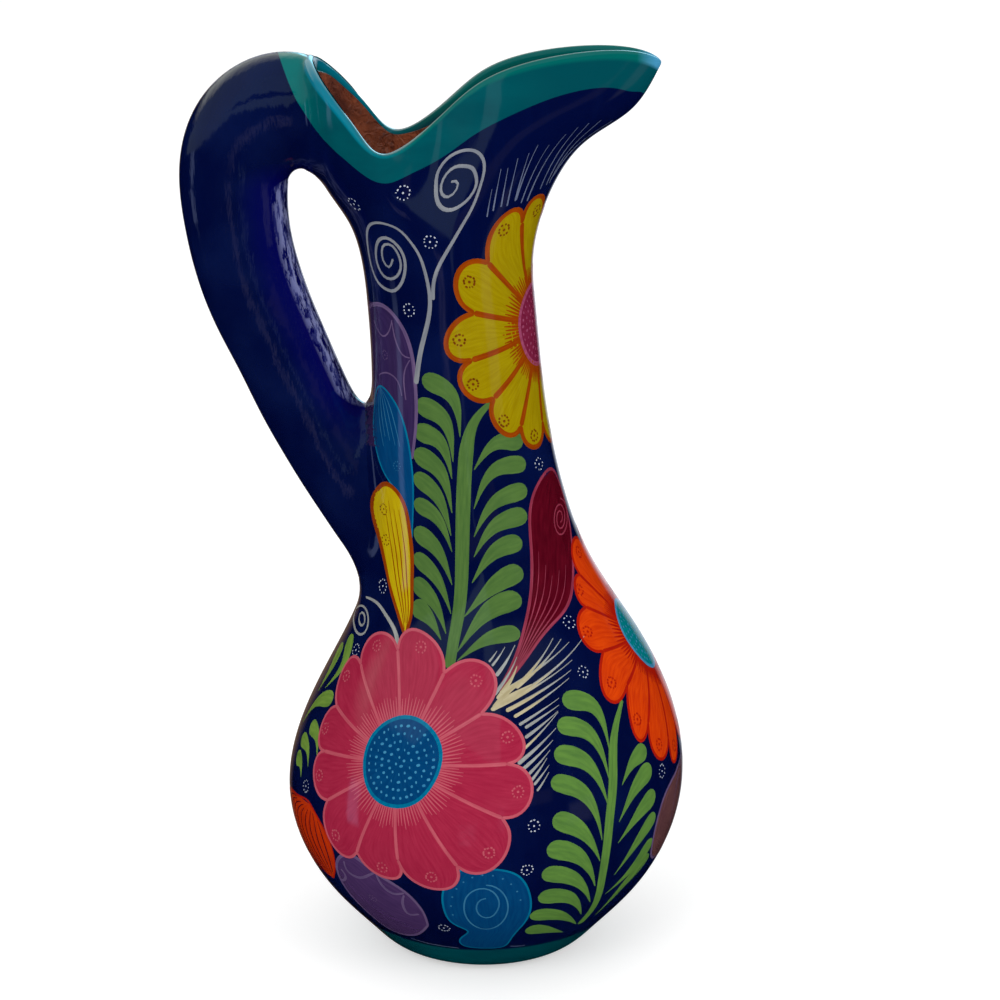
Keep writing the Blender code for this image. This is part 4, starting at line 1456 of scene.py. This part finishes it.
def handle_material():
    """The same ground on the handle, whose clay was smoothed by hand and stayed lumpier."""
    made = Recipe(bpy.data.materials.new("painted_handle"))
    # Its inner side gets a painted sheen: a brighter blue, then pale streaks that are painted
    # highlights
    inward = made.value("inward")
    ground = made.ground(30, 0.45, made.noise(110, 3, (0.4, 1, 0.3), 0.6))
    ground = made.fade(inward, 0.1, 0.7, ground, SHEEN_BLUE)
    for scale, tone in ((300, PAINTED_SHEEN), (520, PAINTED_GLINT)):
        sheen_spots = made.spread(made.noise(scale, 4, (1, 1, 0.22), 0.7), 0.47, 0.60)
        ground = made.blend(made.least(made.spread(inward, 0.74, 0.95), sheen_spots), ground, tone)
    made.feed(Base_Color=made.blend(made.in_band(), ground, made.band()), IOR=VARNISH_IOR,
              Roughness=made.spread(made.noise(60, 3), 0.3, 0.7, 0.06, 0.13))
    brushed = made.times(made.noise(260, 3, (1, 1, 0.22), 0.6), 0.42)
    made.bump(made.plus(made.times(made.noise(60, 2), 0.9), brushed), HANDLE_SWELL_DEPTH)
    return made.owner


AMBIENT = (222, 222, 222)
FAR_SIDE_EDGE = 0.86
FLOOR_CORNERS = ((-4, -3, 0), (4, -3, 0), (4, 6, 0), (-4, 6, 0))
FLOOR_GLOW = 0.46
LAMP_AIM = (0, 0, 0.18)
# Name, place, size and power
LAMPS = (("key", (-0.7, -1.5, 1.2), (1.0, 1.0), 12), ("fill", (1.5, -1.1, 0.8), (0.8, 1.2), 12))


def add_camera():
    lens = bpy.data.cameras.new("camera")
    lens.sensor_width = 36
    lens.lens = FOCAL_PIXELS * lens.sensor_width / FRAME_SIDE
    lens.clip_start, lens.clip_end = 0.01, 50
    camera = new_object("camera", lens)
    camera.location = CAMERA_PLACE
    camera.rotation_euler = (math.pi / 2 - CAMERA_TILT, 0, CAMERA_TURN)
    bpy.context.scene.camera = camera


def add_lamp(name, place, size, power):
    """A soft rectangular lamp; the room's own pattern stands for its gloss."""
    lamp = bpy.data.lights.new(name, "AREA")
    lamp.shape = "RECTANGLE"
    lamp.size, lamp.size_y = size
    lamp.energy = power
    piece = new_object(name, lamp)
    piece.location = place
    piece.rotation_euler = (Vector(LAMP_AIM) - Vector(place)).to_track_quat("-Z", "Y").to_euler()
    piece.visible_glossy = False


def add_room():
    """White for the camera; for the gloss, a dim room with windows and a pale far side."""
    world = bpy.data.worlds.new("room")
    bpy.context.scene.world = world
    made = Recipe(world)
    x, y, z = made.node("ShaderNodeSeparateXYZ", {0: made.place("Generated")}).outputs
    turn = made.math("ARCTAN2", x, made.times(y, -1.0))

    def between(value, low, high, soft):
        return made.least(made.spread(value, low - soft, low),
                          made.spread(value, high + soft, high))

    def pane(turns, heights):
        return made.least(between(turn, *turns), between(z, *heights))

    def beyond(value, edge, soft=0.02):
        return made.spread(value, edge - soft, edge + soft)

    right, high = made.spread(x, -0.10, 0.05), beyond(z, 0.12)
    far = made.spread(y, FAR_SIDE_EDGE - 0.04, FAR_SIDE_EDGE + 0.06)
    behind = made.math("SUBTRACT", y, made.times(x, 0.4))
    grain = made.node("ShaderNodeTexNoise", {"Vector": made.place("Generated"), "Scale": 16.0,
                                             "Detail": 5.0, "Roughness": 0.7}).outputs[0]
    grain = made.spread(grain, 0.42, 0.56)
    pattern = BLACK
    for mask, tone in (
            (pane((0.0, 0.65, 0.05), (0.03, 0.12, 0.02)), (84, 76, 76)),
            (beyond(z, 0.60, 0.05), (132, 152, 158)),
            (made.least(made.spread(behind, 0.25, 0.70), beyond(z, 0.30, 0.08)), (290, 296, 280)),
            (made.least(far, made.spread(x, 0.05, -0.10)), (120, 96, 74)),
            (made.least(far, high), (235, 242, 255)),
            (made.least(made.spread(y, 0.89, 0.97), right), (235, 242, 255)),
            (made.least(far, right, high), (330, 450, 490)),
            (pane((0.88, 1.08, 0.06), (-0.22, -0.08, 0.05)), (122, 122, 128)),
            (pane((-1.45, -1.33, 0.02), (-0.26, 0.03, 0.06)), (190, 212, 270)),
            (made.least(pane((0.15, 0.20, 0.01), (-0.20, 0.02, 0.04)), grain), (116, 134, 160)),
            (made.least(pane((-0.21, -0.09, 0.03), (-0.36, -0.14, 0.03)), grain), (146, 140, 170))):
        pattern = made.blend(mask, pattern, tone)
    light = made.node("ShaderNodeLightPath").outputs
    seen = made.math("MAXIMUM", light["Is Camera Ray"], light["Is Transmission Ray"])
    unseen = made.blend(light["Is Glossy Ray"], AMBIENT, pattern)
    made.feed(Color=made.blend(seen, unseen, WHITE), Strength=1.0)


def add_floor():
    """White paper that glows for the camera and that the gloss looks through."""
    floor = flat_object("floor", FLOOR_CORNERS)
    made = Recipe(bpy.data.materials.new("floor_paper"))
    light = made.node("ShaderNodeLightPath").outputs
    made.feed(Base_Color=(0.8, 0.8, 0.8, 1), Roughness=0.9, Emission_Color=(1, 1, 1, 1),
              Emission_Strength=made.times(light["Is Camera Ray"], FLOOR_GLOW))
    clear = made.node("ShaderNodeBsdfTransparent").outputs[0]
    cover = made.node("ShaderNodeMixShader",
                      {0: light["Is Glossy Ray"], 1: made.shader.outputs[0], 2: clear})
    made.tree.links.new(cover.outputs[0], made.tree.nodes["Material Output"].inputs[0])
    floor.data.materials.append(made.owner)


# Reflector cards beside the jug, seen in its gloss alone: a tone, then the corners
CARDS = {
    "card_front": ((134, 158, 166), (
        (-0.60, -0.575, 0.425), (-0.45, -0.575, 0.485), (-0.19, -0.575, 0.405),
        (0.065, -0.575, 0.285), (0.080, -0.575, 0.300), (0.080, -0.575, 1.10),
        (-0.60, -0.575, 1.10))),
    "card_left": ((140, 156, 160), (
        (-0.60, 0.10, 0.312), (-0.60, -0.20, 0.34), (-0.60, -0.43, 0.395), (-0.60, -0.575, 0.425),
        (-0.60, -0.575, 1.10), (-0.60, 0.10, 1.10))),
    "card_bar": ((14, 20, 40), (
        (-0.56, -0.565, 0.555), (-0.30, -0.565, 0.545), (-0.02, -0.565, 0.515),
        (-0.02, -0.565, 0.605), (-0.30, -0.565, 0.625), (-0.45, -0.565, 0.600))),
}


def add_cards():
    """Flat cards that stand for the near sides of the photographer's tent."""
    for name, (tone, corners) in CARDS.items():
        card = flat_object(name, corners)
        card.visible_camera = card.visible_diffuse = False
        card.visible_shadow = card.visible_transmission = False
        made = Recipe(bpy.data.materials.new(name))
        made.feed(Base_Color=(0, 0, 0, 1), Specular_IOR_Level=0.0,
                  Emission_Color=(*linear(tone), 1), Emission_Strength=1.0)
        card.data.materials.append(made.owner)


def main():
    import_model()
    forms = make_forms()
    canvas = Canvas(forms)
    body = make_body_skin(forms, canvas)
    body.data.materials.append(skin_material())
    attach(body, "root")
    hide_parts("foot_disc", "lower_bowl", "upper_bowl", "neck", "mouth")
    handle = make_handle_skin(forms)
    handle.data.materials.append(handle_material())
    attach(handle, "root")
    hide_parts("handle")
    brush = Brush(canvas)
    for paint in (paint_leaves, paint_ferns, paint_flowers, paint_lines):
        paint(brush)
    for colour, piece in brush.pieces():
        piece.data.materials.append(paint_material(colour, *PAINTS[colour]))
        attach(piece, "root")
    add_camera()
    add_room()
    add_floor()
    add_cards()
    for lamp in LAMPS:
        add_lamp(*lamp)
    bpy.context.scene.view_settings.view_transform = "Standard"


main()
